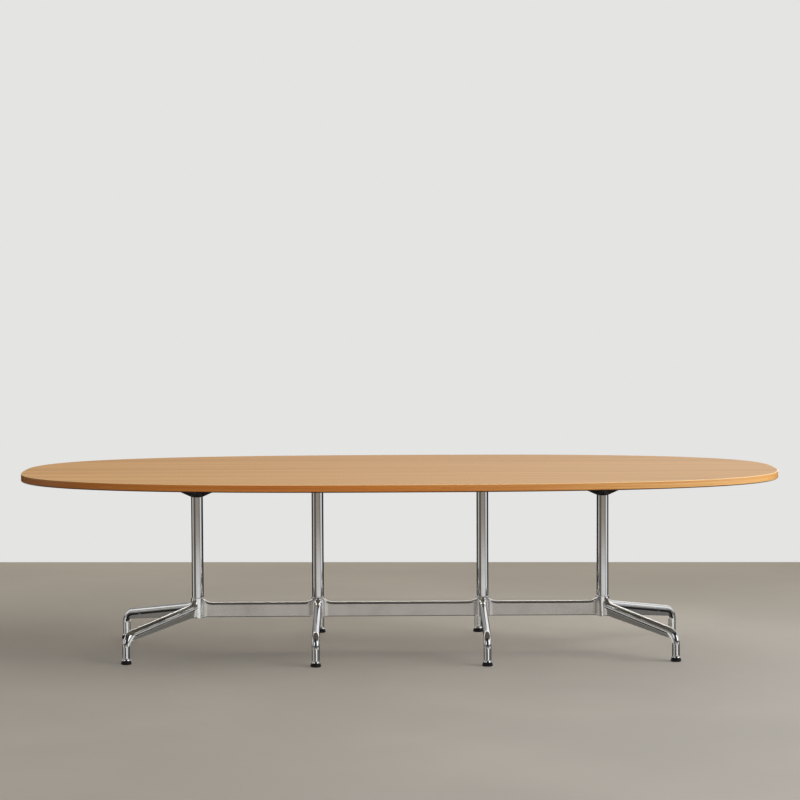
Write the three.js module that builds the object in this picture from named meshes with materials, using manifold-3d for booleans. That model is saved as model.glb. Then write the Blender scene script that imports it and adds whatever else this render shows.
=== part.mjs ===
// Conference table: a long veneered top with bowed sides on four columns, which stand in hubs built up from
// the ends of cast legs and stretchers. Millimetres, +Z up, origin on the floor under the middle of the top,
// X along the table.
import * as THREE from "three";
import { mergeVertices } from "three/addons/utils/BufferGeometryUtils.js";
import Module from "manifold-3d";

const wasm = await Module();
wasm.setup();

// Fit between neighbouring pieces
const CLEARANCE = 0.3;

// Top: a veneered board inside a timber lipping, outlined by a superellipse
const TOP_LENGTH = 3048;
const TOP_WIDTH = 1372;
const TOP_THICKNESS = 30;
const TOP_POWER = 2.7;
const TABLE_HEIGHT = 735;
const VENEER_THICKNESS = 1.2;
const BACKING_THICKNESS = 1.2;
const LIPPING_WIDTH = 5;
const ARRIS = 2;

// Columns, all on the long axis of the table
const MIDDLE_SPAN = 670;
const END_SPAN = 489;
const COLUMN_DIAMETER = 48;
const COLUMN_WALL = 2.5;

// Hubs: the castings wrap the foot of the column, and a coned core draws them in as its nut is tightened
const HUB_FLOOR_GAP = 131;
const HUB_HEIGHT = 83;
const HUB_WALL = 3;
const HUB_ARRIS = 1.2;
const HUB_SEAM = 0.6;
const COLUMN_SOCKET_DEPTH = 20;
const QUARTER_SECTOR = 90;
const CORE_INSET = 13;
const CORE_FLOOR = 5;
const CORE_SPIGOT = 30;
const CONE_WIDTH = 4;
const CONE_RISE = 3;

// Tie rod and its nut, which pull each spider down on to its column
const ROD_DIAMETER = 12;
const ROD_COVER = 20;
const NUT_ACROSS_FLATS = 18;
const NUT_HEIGHT = 10;

// Legs: a round bead over a tapered web, bent down into a post
const LEG_REACH = 438;
const END_FRONT_ANGLE = 54;
const END_REAR_ANGLE = 43;
const BEAD_DIAMETER = 30;
const BEAD_SLOPE = 9.1;
const BEAD_DROP = 22;
const WEB_THICKNESS = 13;
const WEB_EDGE_THICKNESS = 9;
const WEB_EDGE_ROUND = 2.5;
const WEB_SLOPE = 7.1;
const WEB_RISE = 3;
const BEND_RADIUS = 48;
const FERRULE_DIAMETER = 34;
const FERRULE_HEIGHT = 9;

// Roots: how the arms spread into the hub wall
const ROOT_SPREAD = 38;
const ROOT_RIM = 2;
const ROOT_BITE = 1;
const ROOT_CROWN_LENGTH = 34;
const ROOT_SIDE_LENGTH = 18;

// Stretchers: flat bars with a rounded top edge
const STRETCHER_THICKNESS = 20;
const STRETCHER_TOP_DROP = 20;
const STRETCHER_BOTTOM_RISE = 3;
const STRETCHER_CHAMFER = 2.5;

// Levelling glides: a pad that swivels on a screw stem
const GLIDE_DIAMETER = 42;
const GLIDE_HEIGHT = 15;
const GLIDE_COLLAR_DIAMETER = 38;
const GLIDE_COLLAR_HEIGHT = 6;
const GLIDE_EDGE = 2.5;
const GLIDE_FLOOR = 5;
const GLIDE_TRAVEL = 11.25;
const STEM_DIAMETER = 10;
const STEM_FOOT_DIAMETER = 12;
const STEM_FOOT_HEIGHT = 9;
const STEM_THREAD_HOLD = 20;
const STEM_BORE_SPARE = 3;

// Spiders: four tapered arms under the top, deep on the end columns and shallow on the middle ones
const END_SPIDER_DEPTH = 80;
const MIDDLE_SPIDER_DEPTH = 45;
const SPIDER_REACH = 204;
const SPIDER_COLLAR = 1;
const SPIDER_SPIGOT = 25;
const SPIDER_ARM_WIDTH = 28;
const SPIDER_FLANGE = 6;
const SPIDER_WEB = 9;
const SCREW_HOLE_DIAMETER = 5.5;

// Facets
const OUTLINE_STEPS = 18;
const COLUMN_SIDES = 24;
const HUB_SIDES = 24;
const CORE_SIDES = 16;
const SPIDER_SIDES = 12;
const BEAD_STEPS = 8;
const BEND_STEPS = 5;
const CROWN_STEPS = 6;
const GLIDE_SIDES = 12;
const SMALL_SIDES = 10;
const NUT_HOLE_STEPS = 6;
const HOLE_STEPS = 3;
const ROOT_STATIONS = [0.08, 0.26, 0.56, 1];

// Levels and radii that follow from the sizes above
const underside = TABLE_HEIGHT - TOP_THICKNESS;
const columnRadius = COLUMN_DIAMETER / 2;
const columnBore = columnRadius - COLUMN_WALL;
const spigotRadius = columnBore - CLEARANCE;
const socketRadius = columnRadius + CLEARANCE;
const hubRadius = socketRadius + HUB_WALL;
const hubTop = HUB_FLOOR_GAP + HUB_HEIGHT;
const columnFoot = hubTop - COLUMN_SOCKET_DEPTH;
const coreBottom = HUB_FLOOR_GAP + CORE_INSET;
const coreFloor = coreBottom + CORE_FLOOR;
const coneRadius = spigotRadius + CONE_WIDTH;
const coneLevel = (radius) => coreFloor + ((radius - spigotRadius) * CONE_RISE) / CONE_WIDTH;
const nutCorner = NUT_ACROSS_FLATS / Math.sqrt(3);
const rodHole = ROD_DIAMETER / 2 + CLEARANCE;
const rodTop = underside - ROD_COVER;
const rootHalfWidth = hubRadius * Math.sin(THREE.MathUtils.degToRad(ROOT_SPREAD));
const rootStart = hubRadius * Math.cos(THREE.MathUtils.degToRad(ROOT_SPREAD)) - ROOT_BITE;
const postFoot = GLIDE_HEIGHT + CLEARANCE;
const stemTop = postFoot + GLIDE_TRAVEL + STEM_THREAD_HOLD;

const endSpider = underside - END_SPIDER_DEPTH;
const middleSpider = underside - MIDDLE_SPIDER_DEPTH;

const stations = [
  { place: "left_end", x: -MIDDLE_SPAN / 2 - END_SPAN, spiderBottom: endSpider },
  { place: "left_middle", x: -MIDDLE_SPAN / 2, spiderBottom: middleSpider },
  { place: "right_middle", x: MIDDLE_SPAN / 2, spiderBottom: middleSpider },
  { place: "right_end", x: MIDDLE_SPAN / 2 + END_SPAN, spiderBottom: endSpider },
];

// Finishes
const finishes = {
  veneer: { color: 0xcdb08a, roughness: 0.42, metalness: 0 },
  lipping: { color: 0xa9692f, roughness: 0.4, metalness: 0 },
  board: { color: 0xb79a70, roughness: 0.85, metalness: 0 },
  backing: { color: 0xcfc8bc, roughness: 0.6, metalness: 0 },
  polished: { color: 0xd9d9dc, roughness: 0.12, metalness: 1 },
  tube: { color: 0xdcdde0, roughness: 0.1, metalness: 1 },
  blackened: { color: 0x17181a, roughness: 0.5, metalness: 0.3 },
  zinc: { color: 0xb4b6b8, roughness: 0.35, metalness: 1 },
  glide: { color: 0x0c0c0d, roughness: 0.25, metalness: 0 },
};

function mesh(name, geometry, finish) {
  const made = new THREE.Mesh(geometry, new THREE.MeshStandardMaterial(finishes[finish]));
  made.name = name;
  return made;
}

// Booleans on closed geometries
function solidOf(geometry) {
  const bare = geometry.clone();
  bare.deleteAttribute("normal");
  bare.deleteAttribute("uv");
  const merged = mergeVertices(bare, 1e-4);
  const triVerts = new Uint32Array(merged.index.array);
  const vertProperties = new Float32Array(merged.attributes.position.array);
  return new wasm.Manifold(new wasm.Mesh({ numProp: 3, vertProperties, triVerts }));
}

function geometryOf(solid) {
  const made = solid.getMesh();
  const geometry = new THREE.BufferGeometry();
  geometry.setAttribute("position", new THREE.BufferAttribute(made.vertProperties, 3));
  geometry.setIndex(new THREE.BufferAttribute(made.triVerts, 1));
  geometry.computeVertexNormals();
  return geometry;
}

// A grid of points closed into a skin; rows run along the piece, and each row is a closed ring.
function gridFaces(rows, count, wrapRows) {
  const faces = [];
  const last = wrapRows ? rows : rows - 1;
  for (let row = 0; row < last; row++) {
    for (let i = 0; i < count; i++) {
      const next = (i + 1) % count;
      const here = row * count;
      const there = ((row + 1) % rows) * count;
      faces.push(here + i, here + next, there + next, here + i, there + next, there + i);
    }
  }
  return faces;
}

function skin(points, faces) {
  const geometry = new THREE.BufferGeometry().setFromPoints(points);
  geometry.setIndex(faces);
  geometry.computeVertexNormals();
  return geometry;
}

// Loft through rings of equal length, each end closed by a fan about its middle.
function loft(rings) {
  const count = rings[0].length;
  const points = rings.flat();
  const faces = gridFaces(rings.length, count, false);
  const closeEnd = (ring, first, forward) => {
    const middle = points.length;
    points.push(ring.reduce((sum, p) => sum.add(p), new THREE.Vector3()).divideScalar(count));
    for (let i = 0; i < count; i++) {
      const a = first + i;
      const b = first + ((i + 1) % count);
      faces.push(middle, forward ? a : b, forward ? b : a);
    }
  };
  closeEnd(rings[0], 0, false);
  closeEnd(rings.at(-1), (rings.length - 1) * count, true);
  return skin(points, faces);
}

// Revolve of a profile of [radius, height] pairs about the upright axis.
function revolve(profile, sides) {
  const outline = profile.map(([radius, height]) => new THREE.Vector2(radius, height));
  return new THREE.LatheGeometry(outline, sides).rotateX(Math.PI / 2);
}

// Revolve of a profile that closes on itself.
const revolveRing = (profile, sides) => revolve([...profile, profile[0]], sides);

// Upright prism of a shape between two levels.
function prism(shape, bottom, top, curveSegments = 1) {
  const options = { depth: top - bottom, bevelEnabled: false, curveSegments };
  return new THREE.ExtrudeGeometry(shape, options).translate(0, 0, bottom);
}

// Share of a concave root that is left at a distance from the hub wall: 1 at the wall, 0 past the length.
function rootShare(distance, length) {
  const along = THREE.MathUtils.clamp(distance / length, 0, 1);
  return 1 - Math.sqrt(1 - (1 - along) ** 2);
}

// Top
function topOutline(inset) {
  const half = new THREE.Vector2(TOP_LENGTH / 2, TOP_WIDTH / 2);
  const power = (value, exponent) => Math.sign(value) * Math.abs(value) ** exponent;
  return Array.from({ length: 4 * OUTLINE_STEPS }, (_, step) => {
    const angle = (step / OUTLINE_STEPS) * (Math.PI / 2);
    const x = power(Math.cos(angle), 2 / TOP_POWER);
    const y = power(Math.sin(angle), 2 / TOP_POWER);
    const normal = new THREE.Vector2(power(x, TOP_POWER - 1) / half.x, power(y, TOP_POWER - 1) / half.y);
    return new THREE.Vector2(x * half.x, y * half.y).addScaledVector(normal.normalize(), -inset);
  });
}

function lipping() {
  const profile = [
    [LIPPING_WIDTH, underside],
    [ARRIS, underside],
    [0, underside + ARRIS],
    [0, TABLE_HEIGHT - ARRIS],
    [ARRIS, TABLE_HEIGHT],
    [LIPPING_WIDTH, TABLE_HEIGHT],
  ];
  const points = profile.flatMap(([inset, level]) =>
    topOutline(inset).map((p) => new THREE.Vector3(p.x, p.y, level)),
  );
  return skin(points, gridFaces(profile.length, 4 * OUTLINE_STEPS, true));
}

function topGroup() {
  const group = new THREE.Group();
  const field = new THREE.Shape(topOutline(LIPPING_WIDTH));
  const veneerBottom = TABLE_HEIGHT - VENEER_THICKNESS;
  const backingTop = underside + BACKING_THICKNESS;
  group.add(
    mesh("top_veneer", prism(field, veneerBottom, TABLE_HEIGHT), "veneer"),
    mesh("top_core", prism(field, backingTop, veneerBottom), "board"),
    mesh("backing_sheet", prism(field, underside, backingTop), "backing"),
    mesh("edge_lipping", lipping(), "lipping"),
  );
  return group;
}

// Column, core, tie rod and nut
function column(spiderBottom) {
  const profile = [
    [columnBore, columnFoot],
    [columnRadius, columnFoot],
    [columnRadius, spiderBottom],
    [columnBore, spiderBottom],
  ];
  return revolveRing(profile, COLUMN_SIDES);
}

function hubCore() {
  const profile = [
    [rodHole, coreBottom],
    [coneRadius, coreBottom],
    [coneRadius, coneLevel(coneRadius)],
    [spigotRadius, coreFloor],
    [spigotRadius, columnFoot + CORE_SPIGOT],
    [rodHole, columnFoot + CORE_SPIGOT],
  ];
  return revolveRing(profile, CORE_SIDES);
}

function tieRod() {
  const radius = ROD_DIAMETER / 2;
  const foot = coreBottom - NUT_HEIGHT;
  return revolve([[0, foot], [radius, foot], [radius, rodTop], [0, rodTop]], SMALL_SIDES);
}

function hubNut() {
  const corners = Array.from({ length: 6 }, (_, i) =>
    new THREE.Vector2(nutCorner, 0).rotateAround(new THREE.Vector2(), (i * Math.PI) / 3),
  );
  const hexagon = new THREE.Shape(corners);
  hexagon.holes.push(new THREE.Path().absarc(0, 0, rodHole, 0, 2 * Math.PI));
  return prism(hexagon, coreBottom - NUT_HEIGHT, coreBottom, NUT_HOLE_STEPS);
}

// Spider: two crossed beams, each a flange over a web that tapers from the boss to the tips
function spiderBeam(spiderBottom, angle) {
  const flangeBottom = underside - SPIDER_FLANGE;
  const half = SPIDER_ARM_WIDTH / 2;
  const plan = new THREE.Shape();
  plan.absarc(SPIDER_REACH, 0, half, -Math.PI / 2, Math.PI / 2);
  plan.absarc(-SPIDER_REACH, 0, half, Math.PI / 2, (3 * Math.PI) / 2);
  [-SPIDER_REACH, SPIDER_REACH].forEach((x) =>
    plan.holes.push(new THREE.Path().absarc(x, 0, SCREW_HOLE_DIAMETER / 2, 0, 2 * Math.PI)),
  );
  const webEnd = SPIDER_REACH - half;
  const webTop = underside - SPIDER_FLANGE / 2;
  const side = new THREE.Shape();
  side.moveTo(-columnRadius, spiderBottom).lineTo(columnRadius, spiderBottom);
  side.lineTo(webEnd, flangeBottom).lineTo(webEnd, webTop);
  side.lineTo(-webEnd, webTop).lineTo(-webEnd, flangeBottom);
  const web = new THREE.ExtrudeGeometry(side, { depth: SPIDER_WEB, bevelEnabled: false });
  web.translate(0, 0, -SPIDER_WEB / 2).rotateX(Math.PI / 2).rotateZ(angle);
  const flange = prism(plan, flangeBottom, underside, HOLE_STEPS).rotateZ(angle);
  return solidOf(flange).add(solidOf(web));
}

function spider(spiderBottom) {
  const collar = columnRadius + SPIDER_COLLAR;
  const foot = spiderBottom - SPIDER_SPIGOT;
  const profile = [
    [0, foot],
    [spigotRadius, foot],
    [spigotRadius, spiderBottom],
    [collar, spiderBottom],
    [collar, underside],
    [0, underside],
  ];
  const boreTop = rodTop + CLEARANCE;
  const boreFoot = foot - CLEARANCE;
  const boreProfile = [[0, boreFoot], [rodHole, boreFoot], [rodHole, boreTop], [0, boreTop]];
  const boss = solidOf(revolve(profile, SPIDER_SIDES));
  const bore = solidOf(revolve(boreProfile, SPIDER_SIDES));
  const beams = spiderBeam(spiderBottom, 0).add(spiderBeam(spiderBottom, Math.PI / 2));
  return geometryOf(boss.add(beams).subtract(bore));
}

// Hub sectors: the share of the hub that belongs to one casting, measured from the casting's own arm
function sectorWedge(from, to) {
  const middle = THREE.MathUtils.degToRad((from + to) / 2);
  const halfAngle = THREE.MathUtils.degToRad((to - from) / 2);
  const apex = HUB_SEAM / 2 / Math.sin(halfAngle);
  const far = 2 * hubRadius; // past the hub wall on every ray
  const rays = [-1, -0.5, 0, 0.5, 1].map((share) => middle + share * halfAngle);
  const corners = rays.map((ray) => new THREE.Vector2(far * Math.cos(ray), far * Math.sin(ray)));
  const shape = new THREE.Shape([new THREE.Vector2(), ...corners]);
  const wedge = prism(shape, HUB_FLOOR_GAP - HUB_HEIGHT, hubTop + HUB_HEIGHT);
  return solidOf(wedge.translate(apex * Math.cos(middle), apex * Math.sin(middle), 0));
}

function hubSector(from, to) {
  const inner = spigotRadius / 2; // inside the space that is cut out below
  const profile = [
    [inner, HUB_FLOOR_GAP],
    [hubRadius, HUB_FLOOR_GAP],
    [hubRadius, hubTop - HUB_ARRIS],
    [hubRadius - HUB_ARRIS, hubTop],
    [inner, hubTop],
  ];
  return solidOf(revolveRing(profile, HUB_SIDES)).intersect(sectorWedge(from, to));
}

// The space that the column and the core take inside a hub
function hubSpace() {
  const below = HUB_FLOOR_GAP - HUB_HEIGHT;
  const above = hubTop + HUB_HEIGHT;
  const coneBore = coneRadius + CLEARANCE;
  const spigotBore = spigotRadius + CLEARANCE;
  const profile = [
    [0, below],
    [coneBore, below],
    [coneBore, coneLevel(coneBore) + 2 * CLEARANCE],
    [spigotBore, coneLevel(spigotBore) + 2 * CLEARANCE],
    [spigotBore, columnFoot],
    [socketRadius, columnFoot],
    [socketRadius, above],
    [0, above],
  ];
  return solidOf(revolve(profile, HUB_SIDES));
}

// Legs
const slope = THREE.MathUtils.degToRad(BEAD_SLOPE);
const bead = BEAD_DIAMETER / 2;
const beadLevel = (reach) => {
  const atHub = hubTop - BEAD_DROP - bead / Math.cos(slope);
  return atHub - (reach - hubRadius) * Math.tan(slope);
};
const webFall = Math.tan(THREE.MathUtils.degToRad(WEB_SLOPE));
const webLevel = (reach) => HUB_FLOOR_GAP + WEB_RISE - (reach - hubRadius) * webFall;
const bendReach = LEG_REACH - BEND_RADIUS;
const bendLevel = beadLevel(bendReach) - BEND_RADIUS / Math.cos(slope);

// Section of a leg: a bead with its web below it, square to the direction in which the leg runs.
function legRing({ reach, level, lean, width = bead, crown = bead, web = WEB_THICKNESS / 2, edge, depth }) {
  const start = -Math.acos(web / width);
  const section = [];
  for (let step = 0; step <= BEAD_STEPS; step++) {
    const angle = start + ((Math.PI - 2 * start) * step) / BEAD_STEPS;
    const rise = Math.sin(angle);
    section.push([width * Math.cos(angle), rise * (rise > 0 ? crown : bead)]);
  }
  const onBead = (side) => bead * Math.sqrt(1 - (side / width) ** 2);
  const flat = edge - WEB_EDGE_ROUND;
  const corner = Math.max(depth - WEB_EDGE_ROUND, onBead(edge));
  const bottom = Math.max(depth, onBead(flat));
  section.push([-edge, -corner], [-flat, -bottom], [flat, -bottom], [edge, -corner]);
  const upReach = Math.sin(lean);
  const upLevel = Math.cos(lean);
  return section.map(([side, up]) => new THREE.Vector3(reach + up * upReach, side, level + up * upLevel));
}

function armRing(reach) {
  const level = beadLevel(reach);
  const side = rootShare(reach - hubRadius, ROOT_SIDE_LENGTH);
  const crown = rootShare(reach - hubRadius, ROOT_CROWN_LENGTH);
  const spread = (half) => THREE.MathUtils.lerp(half, rootHalfWidth, side);
  const beadTop = level + bead / Math.cos(slope);
  const top = THREE.MathUtils.lerp(beadTop, hubTop - ROOT_RIM, crown);
  const bottom = THREE.MathUtils.lerp(webLevel(reach), HUB_FLOOR_GAP + ROOT_RIM, crown);
  return legRing({
    reach,
    level,
    lean: 0,
    width: spread(bead),
    crown: top - level,
    web: spread(WEB_THICKNESS / 2) - HUB_SEAM * side,
    edge: spread(WEB_EDGE_THICKNESS / 2) - 2 * HUB_SEAM * side,
    depth: level - bottom,
  });
}

function bendRing(lean) {
  const webToCentre = webLevel(bendReach) - bendLevel;
  const depth = BEND_RADIUS - webToCentre / (Math.cos(lean) + webFall * Math.sin(lean));
  return legRing({
    reach: bendReach + BEND_RADIUS * Math.sin(lean),
    level: bendLevel + BEND_RADIUS * Math.cos(lean),
    lean,
    edge: WEB_EDGE_THICKNESS / 2,
    depth: Math.max(depth, 0),
  });
}

// Section of the post, as a share of the way from its plain radius to the ferrule's
function postRing(level, share) {
  const ring = legRing({
    reach: 0,
    level: 0,
    lean: Math.PI / 2,
    edge: WEB_EDGE_THICKNESS / 2,
    depth: 0,
  });
  const scale = THREE.MathUtils.lerp(1, FERRULE_DIAMETER / BEAD_DIAMETER, share);
  return ring.map((p) => new THREE.Vector3(LEG_REACH + p.x * scale, p.y * scale, level));
}

function leg(sectorFrom, sectorTo) {
  const rings = [armRing(rootStart), armRing(hubRadius)];
  ROOT_STATIONS.forEach((share) => rings.push(armRing(hubRadius + share * ROOT_CROWN_LENGTH)));
  for (let step = 0; step <= BEND_STEPS; step++) {
    rings.push(bendRing(THREE.MathUtils.lerp(slope, Math.PI / 2, step / BEND_STEPS)));
  }
  [0, 0.5, 1].forEach((along) => rings.push(postRing(postFoot + FERRULE_HEIGHT * (1 - along), along ** 2)));
  const boreRadius = STEM_DIAMETER / 2 + CLEARANCE;
  const boreTop = stemTop + STEM_BORE_SPARE;
  const boreFoot = postFoot - STEM_BORE_SPARE;
  const boreProfile = [[0, boreFoot], [boreRadius, boreFoot], [boreRadius, boreTop], [0, boreTop]];
  const bore = revolve(boreProfile, SMALL_SIDES).translate(LEG_REACH, 0, 0);
  const casting = solidOf(loft(rings)).add(hubSector(sectorFrom, sectorTo));
  return geometryOf(casting.subtract(hubSpace()).subtract(solidOf(bore)));
}

// Stretchers
function stretcherRing(along, span) {
  const fromHub = Math.min(along, span - along) - hubRadius;
  const side = rootShare(fromHub, ROOT_SIDE_LENGTH);
  const crown = rootShare(fromHub, ROOT_CROWN_LENGTH);
  const half = THREE.MathUtils.lerp(STRETCHER_THICKNESS / 2, rootHalfWidth, side);
  const top = THREE.MathUtils.lerp(hubTop - STRETCHER_TOP_DROP, hubTop - ROOT_RIM, crown);
  const bottom = THREE.MathUtils.lerp(HUB_FLOOR_GAP + STRETCHER_BOTTOM_RISE, HUB_FLOOR_GAP + ROOT_RIM, crown);
  const crownHeight = STRETCHER_THICKNESS / 2;
  const ring = [[half - STRETCHER_CHAMFER, bottom], [half, bottom + STRETCHER_CHAMFER]];
  for (let step = 0; step <= CROWN_STEPS; step++) {
    const angle = (Math.PI * step) / CROWN_STEPS;
    ring.push([half * Math.cos(angle), top - crownHeight * (1 - Math.sin(angle))]);
  }
  ring.push([-half, bottom + STRETCHER_CHAMFER], [STRETCHER_CHAMFER - half, bottom]);
  return ring.map(([y, z]) => new THREE.Vector3(along, y, z));
}

function stretcher(span) {
  const fromAxis = [rootStart, hubRadius, ...ROOT_STATIONS.map((s) => hubRadius + s * ROOT_CROWN_LENGTH)];
  const stops = [...fromAxis, ...fromAxis.toReversed().map((along) => span - along)];
  const half = QUARTER_SECTOR / 2;
  const nearEnd = hubSector(-half, half).subtract(hubSpace());
  const farEnd = hubSector(180 - half, 180 + half).subtract(hubSpace()).translate([span, 0, 0]);
  const bar = solidOf(loft(stops.map((along) => stretcherRing(along, span))));
  const cleared = bar.subtract(hubSpace()).subtract(hubSpace().translate([span, 0, 0]));
  return geometryOf(cleared.add(nearEnd).add(farEnd));
}

// Glides
function glidePad() {
  const radius = GLIDE_DIAMETER / 2;
  const collar = GLIDE_COLLAR_DIAMETER / 2;
  const shoulder = GLIDE_HEIGHT - GLIDE_COLLAR_HEIGHT;
  const socket = STEM_FOOT_DIAMETER / 2 + CLEARANCE;
  const profile = [
    [0, 0],
    [radius - GLIDE_EDGE, 0],
    [radius, GLIDE_EDGE],
    [radius, shoulder - GLIDE_EDGE / 2],
    [collar, shoulder],
    [collar, GLIDE_HEIGHT - GLIDE_EDGE],
    [collar - GLIDE_EDGE, GLIDE_HEIGHT],
    [socket, GLIDE_HEIGHT],
    [socket, GLIDE_FLOOR],
    [0, GLIDE_FLOOR],
  ];
  return revolve(profile, GLIDE_SIDES);
}

function glideStem() {
  const foot = GLIDE_FLOOR + CLEARANCE;
  const profile = [
    [0, foot],
    [STEM_FOOT_DIAMETER / 2, foot],
    [STEM_FOOT_DIAMETER / 2, foot + STEM_FOOT_HEIGHT],
    [STEM_DIAMETER / 2, foot + STEM_FOOT_HEIGHT],
    [STEM_DIAMETER / 2, stemTop],
    [0, stemTop],
  ];
  return revolve(profile, SMALL_SIDES);
}

function legGroup(place, direction, sectorFrom, sectorTo) {
  const group = new THREE.Group();
  group.rotation.z = THREE.MathUtils.degToRad(direction);
  const glide = new THREE.Group();
  glide.position.x = LEG_REACH;
  glide.add(mesh(`glide_pad_${place}`, glidePad(), "glide"));
  glide.add(mesh(`glide_stem_${place}`, glideStem(), "zinc"));
  group.add(mesh(`leg_${place}`, leg(sectorFrom, sectorTo), "polished"), glide);
  return group;
}

// A middle hub has two stretchers and two legs, a quarter each. An end hub has one stretcher, and its two
// legs share the rest, so their sectors are wider on the side that faces the stretcher.
function stationLegs(place, x) {
  const quarter = QUARTER_SECTOR / 2;
  if (place.endsWith("middle")) {
    return [
      legGroup(`${place}_front`, -90, -quarter, quarter),
      legGroup(`${place}_rear`, 90, -quarter, quarter),
    ];
  }
  const outward = x < 0 ? 180 : 0;
  const turn = x < 0 ? -1 : 1;
  const sides = [["rear", turn, END_REAR_ANGLE], ["front", -turn, END_FRONT_ANGLE]];
  return sides.map(([side, sense, angle]) => {
    const wide = 180 - quarter - angle;
    const reachFrom = sense > 0 ? [-angle, wide] : [-wide, angle];
    return legGroup(`${place}_${side}`, outward + sense * angle, ...reachFrom);
  });
}

function stationGroup({ place, x, spiderBottom }) {
  const group = new THREE.Group();
  group.position.x = x;
  group.add(
    mesh(`column_${place}`, column(spiderBottom), "tube"),
    mesh(`hub_core_${place}`, hubCore(), "zinc"),
    mesh(`tie_rod_${place}`, tieRod(), "zinc"),
    mesh(`hub_nut_${place}`, hubNut(), "zinc"),
    mesh(`spider_${place}`, spider(spiderBottom), "blackened"),
    ...stationLegs(place, x),
  );
  return group;
}

function stretcherMesh(name, from, to) {
  const made = mesh(name, stretcher(to.x - from.x), "polished");
  made.position.x = from.x;
  return made;
}

const table = new THREE.Group();
table.add(
  topGroup(),
  ...stations.map(stationGroup),
  stretcherMesh("stretcher_left", stations[0], stations[1]),
  stretcherMesh("stretcher_middle", stations[1], stations[2]),
  stretcherMesh("stretcher_right", stations[2], stations[3]),
);

export default table;
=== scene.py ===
"""Conference table: the looks of a long veneered top on four bright columns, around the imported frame.

Sizes are millimetres and places come from the frame. A finished mesh is in metres, with its object at the
origin.
"""

import logging
import math
from dataclasses import dataclass
from enum import Enum
from typing import Sequence

import bmesh
import bpy
import numpy as np
from mathutils import Matrix, Quaternion, Vector


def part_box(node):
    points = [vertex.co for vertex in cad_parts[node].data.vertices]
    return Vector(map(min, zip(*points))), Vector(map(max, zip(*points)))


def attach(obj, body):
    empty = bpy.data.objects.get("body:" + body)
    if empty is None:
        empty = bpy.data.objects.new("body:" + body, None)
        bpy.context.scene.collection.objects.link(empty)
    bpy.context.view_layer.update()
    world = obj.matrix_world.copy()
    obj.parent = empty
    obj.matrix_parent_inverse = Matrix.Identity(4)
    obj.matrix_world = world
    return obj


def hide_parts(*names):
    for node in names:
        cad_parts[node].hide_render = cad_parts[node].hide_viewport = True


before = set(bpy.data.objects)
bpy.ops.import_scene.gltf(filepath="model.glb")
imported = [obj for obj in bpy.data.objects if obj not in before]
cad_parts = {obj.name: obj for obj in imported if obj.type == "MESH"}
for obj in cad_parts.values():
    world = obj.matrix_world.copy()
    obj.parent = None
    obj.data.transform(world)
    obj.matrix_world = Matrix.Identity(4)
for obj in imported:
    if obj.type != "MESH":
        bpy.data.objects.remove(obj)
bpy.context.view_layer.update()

LOG = logging.getLogger("conference_table")
MM = 0.001
MERGE = 1e-6
BASE = "base"
CLEARANCE = 0.3
SHARP = 34.0

Colour = tuple[float, float, float, float]


class Place(Enum):
    """The four columns, from the left."""

    LEFT_END = "left_end"
    LEFT_MIDDLE = "left_middle"
    RIGHT_MIDDLE = "right_middle"
    RIGHT_END = "right_end"


class Side(Enum):
    """The two legs of a column."""

    FRONT = "front"
    REAR = "rear"


class Slot(Enum):
    """The record's material slots."""

    VENEER = "veneer"
    LIPPING = "lipping"
    BOARD = "board"
    BACKING = "backing"
    CAST = "cast"
    TUBE = "tube"
    SPIDER = "spider"
    ZINC = "zinc"
    GLIDE = "glide"


def tone(red: int, green: int, blue: int) -> Colour:
    """Linear colour of an sRGB triple from 0 to 255."""
    levels = [level / 255 for level in (red, green, blue)]
    curved = [v / 12.92 if v <= 0.04045 else ((v + 0.055) / 1.055) ** 2.4 for v in levels]
    return curved[0], curved[1], curved[2], 1.0


def span(node: str) -> tuple[np.ndarray, np.ndarray]:
    """Lowest and highest corner of a CAD node, in millimetres."""
    low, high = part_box(node)
    return np.array(low) / MM, np.array(high) / MM


class Value:
    """A number that flows through a node tree; arithmetic on it adds Math nodes."""

    def __init__(self, graph: "Graph", socket: bpy.types.NodeSocket) -> None:
        """Wrap an output socket of a graph."""
        self.graph = graph
        self.socket = socket

    def out(self, key: int | str) -> "Value":
        """Another output of the same node."""
        return Value(self.graph, self.graph.find(self.socket.node.outputs, key))

    def math(self, operation: str, other: "float | Value" = 0.0, flipped: bool = False) -> "Value":
        """Add a Math node.

        Args:
            operation: the node's operation.
            other: the second operand.
            flipped: whether the operands change places.

        Returns:
            The node's result.
        """
        operands = {0: other, 1: self} if flipped else {0: self, 1: other}
        return self.graph.node("ShaderNodeMath", {"operation": operation}, operands)

    def clamped(self) -> "Value":
        """The value held between 0 and 1."""
        return self.graph.node("ShaderNodeClamp", {}, {"Value": self})

    def ramp(self, low: float, high: float) -> "Value":
        """Smooth step from 0 at one level to 1 at another."""
        limits = {"Value": self, "From Min": low, "From Max": high}
        return self.graph.node("ShaderNodeMapRange", {"interpolation_type": "SMOOTHSTEP"}, limits)

    def __add__(self, other: "float | Value") -> "Value":
        """Sum."""
        return self.math("ADD", other)

    def __sub__(self, other: "float | Value") -> "Value":
        """Difference."""
        return self.math("SUBTRACT", other)

    def __rsub__(self, other: "float | Value") -> "Value":
        """Difference from a number."""
        return self.math("SUBTRACT", other, flipped=True)

    def __mul__(self, other: "float | Value") -> "Value":
        """Product."""
        return self.math("MULTIPLY", other)

    def __truediv__(self, other: "float | Value") -> "Value":
        """Quotient."""
        return self.math("DIVIDE", other)

    def __rtruediv__(self, other: "float | Value") -> "Value":
        """Quotient of a number."""
        return self.math("DIVIDE", other, flipped=True)

    def __pow__(self, other: "float | Value") -> "Value":
        """Power."""
        return self.math("POWER", other)

    __radd__ = __add__
    __rmul__ = __mul__


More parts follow.
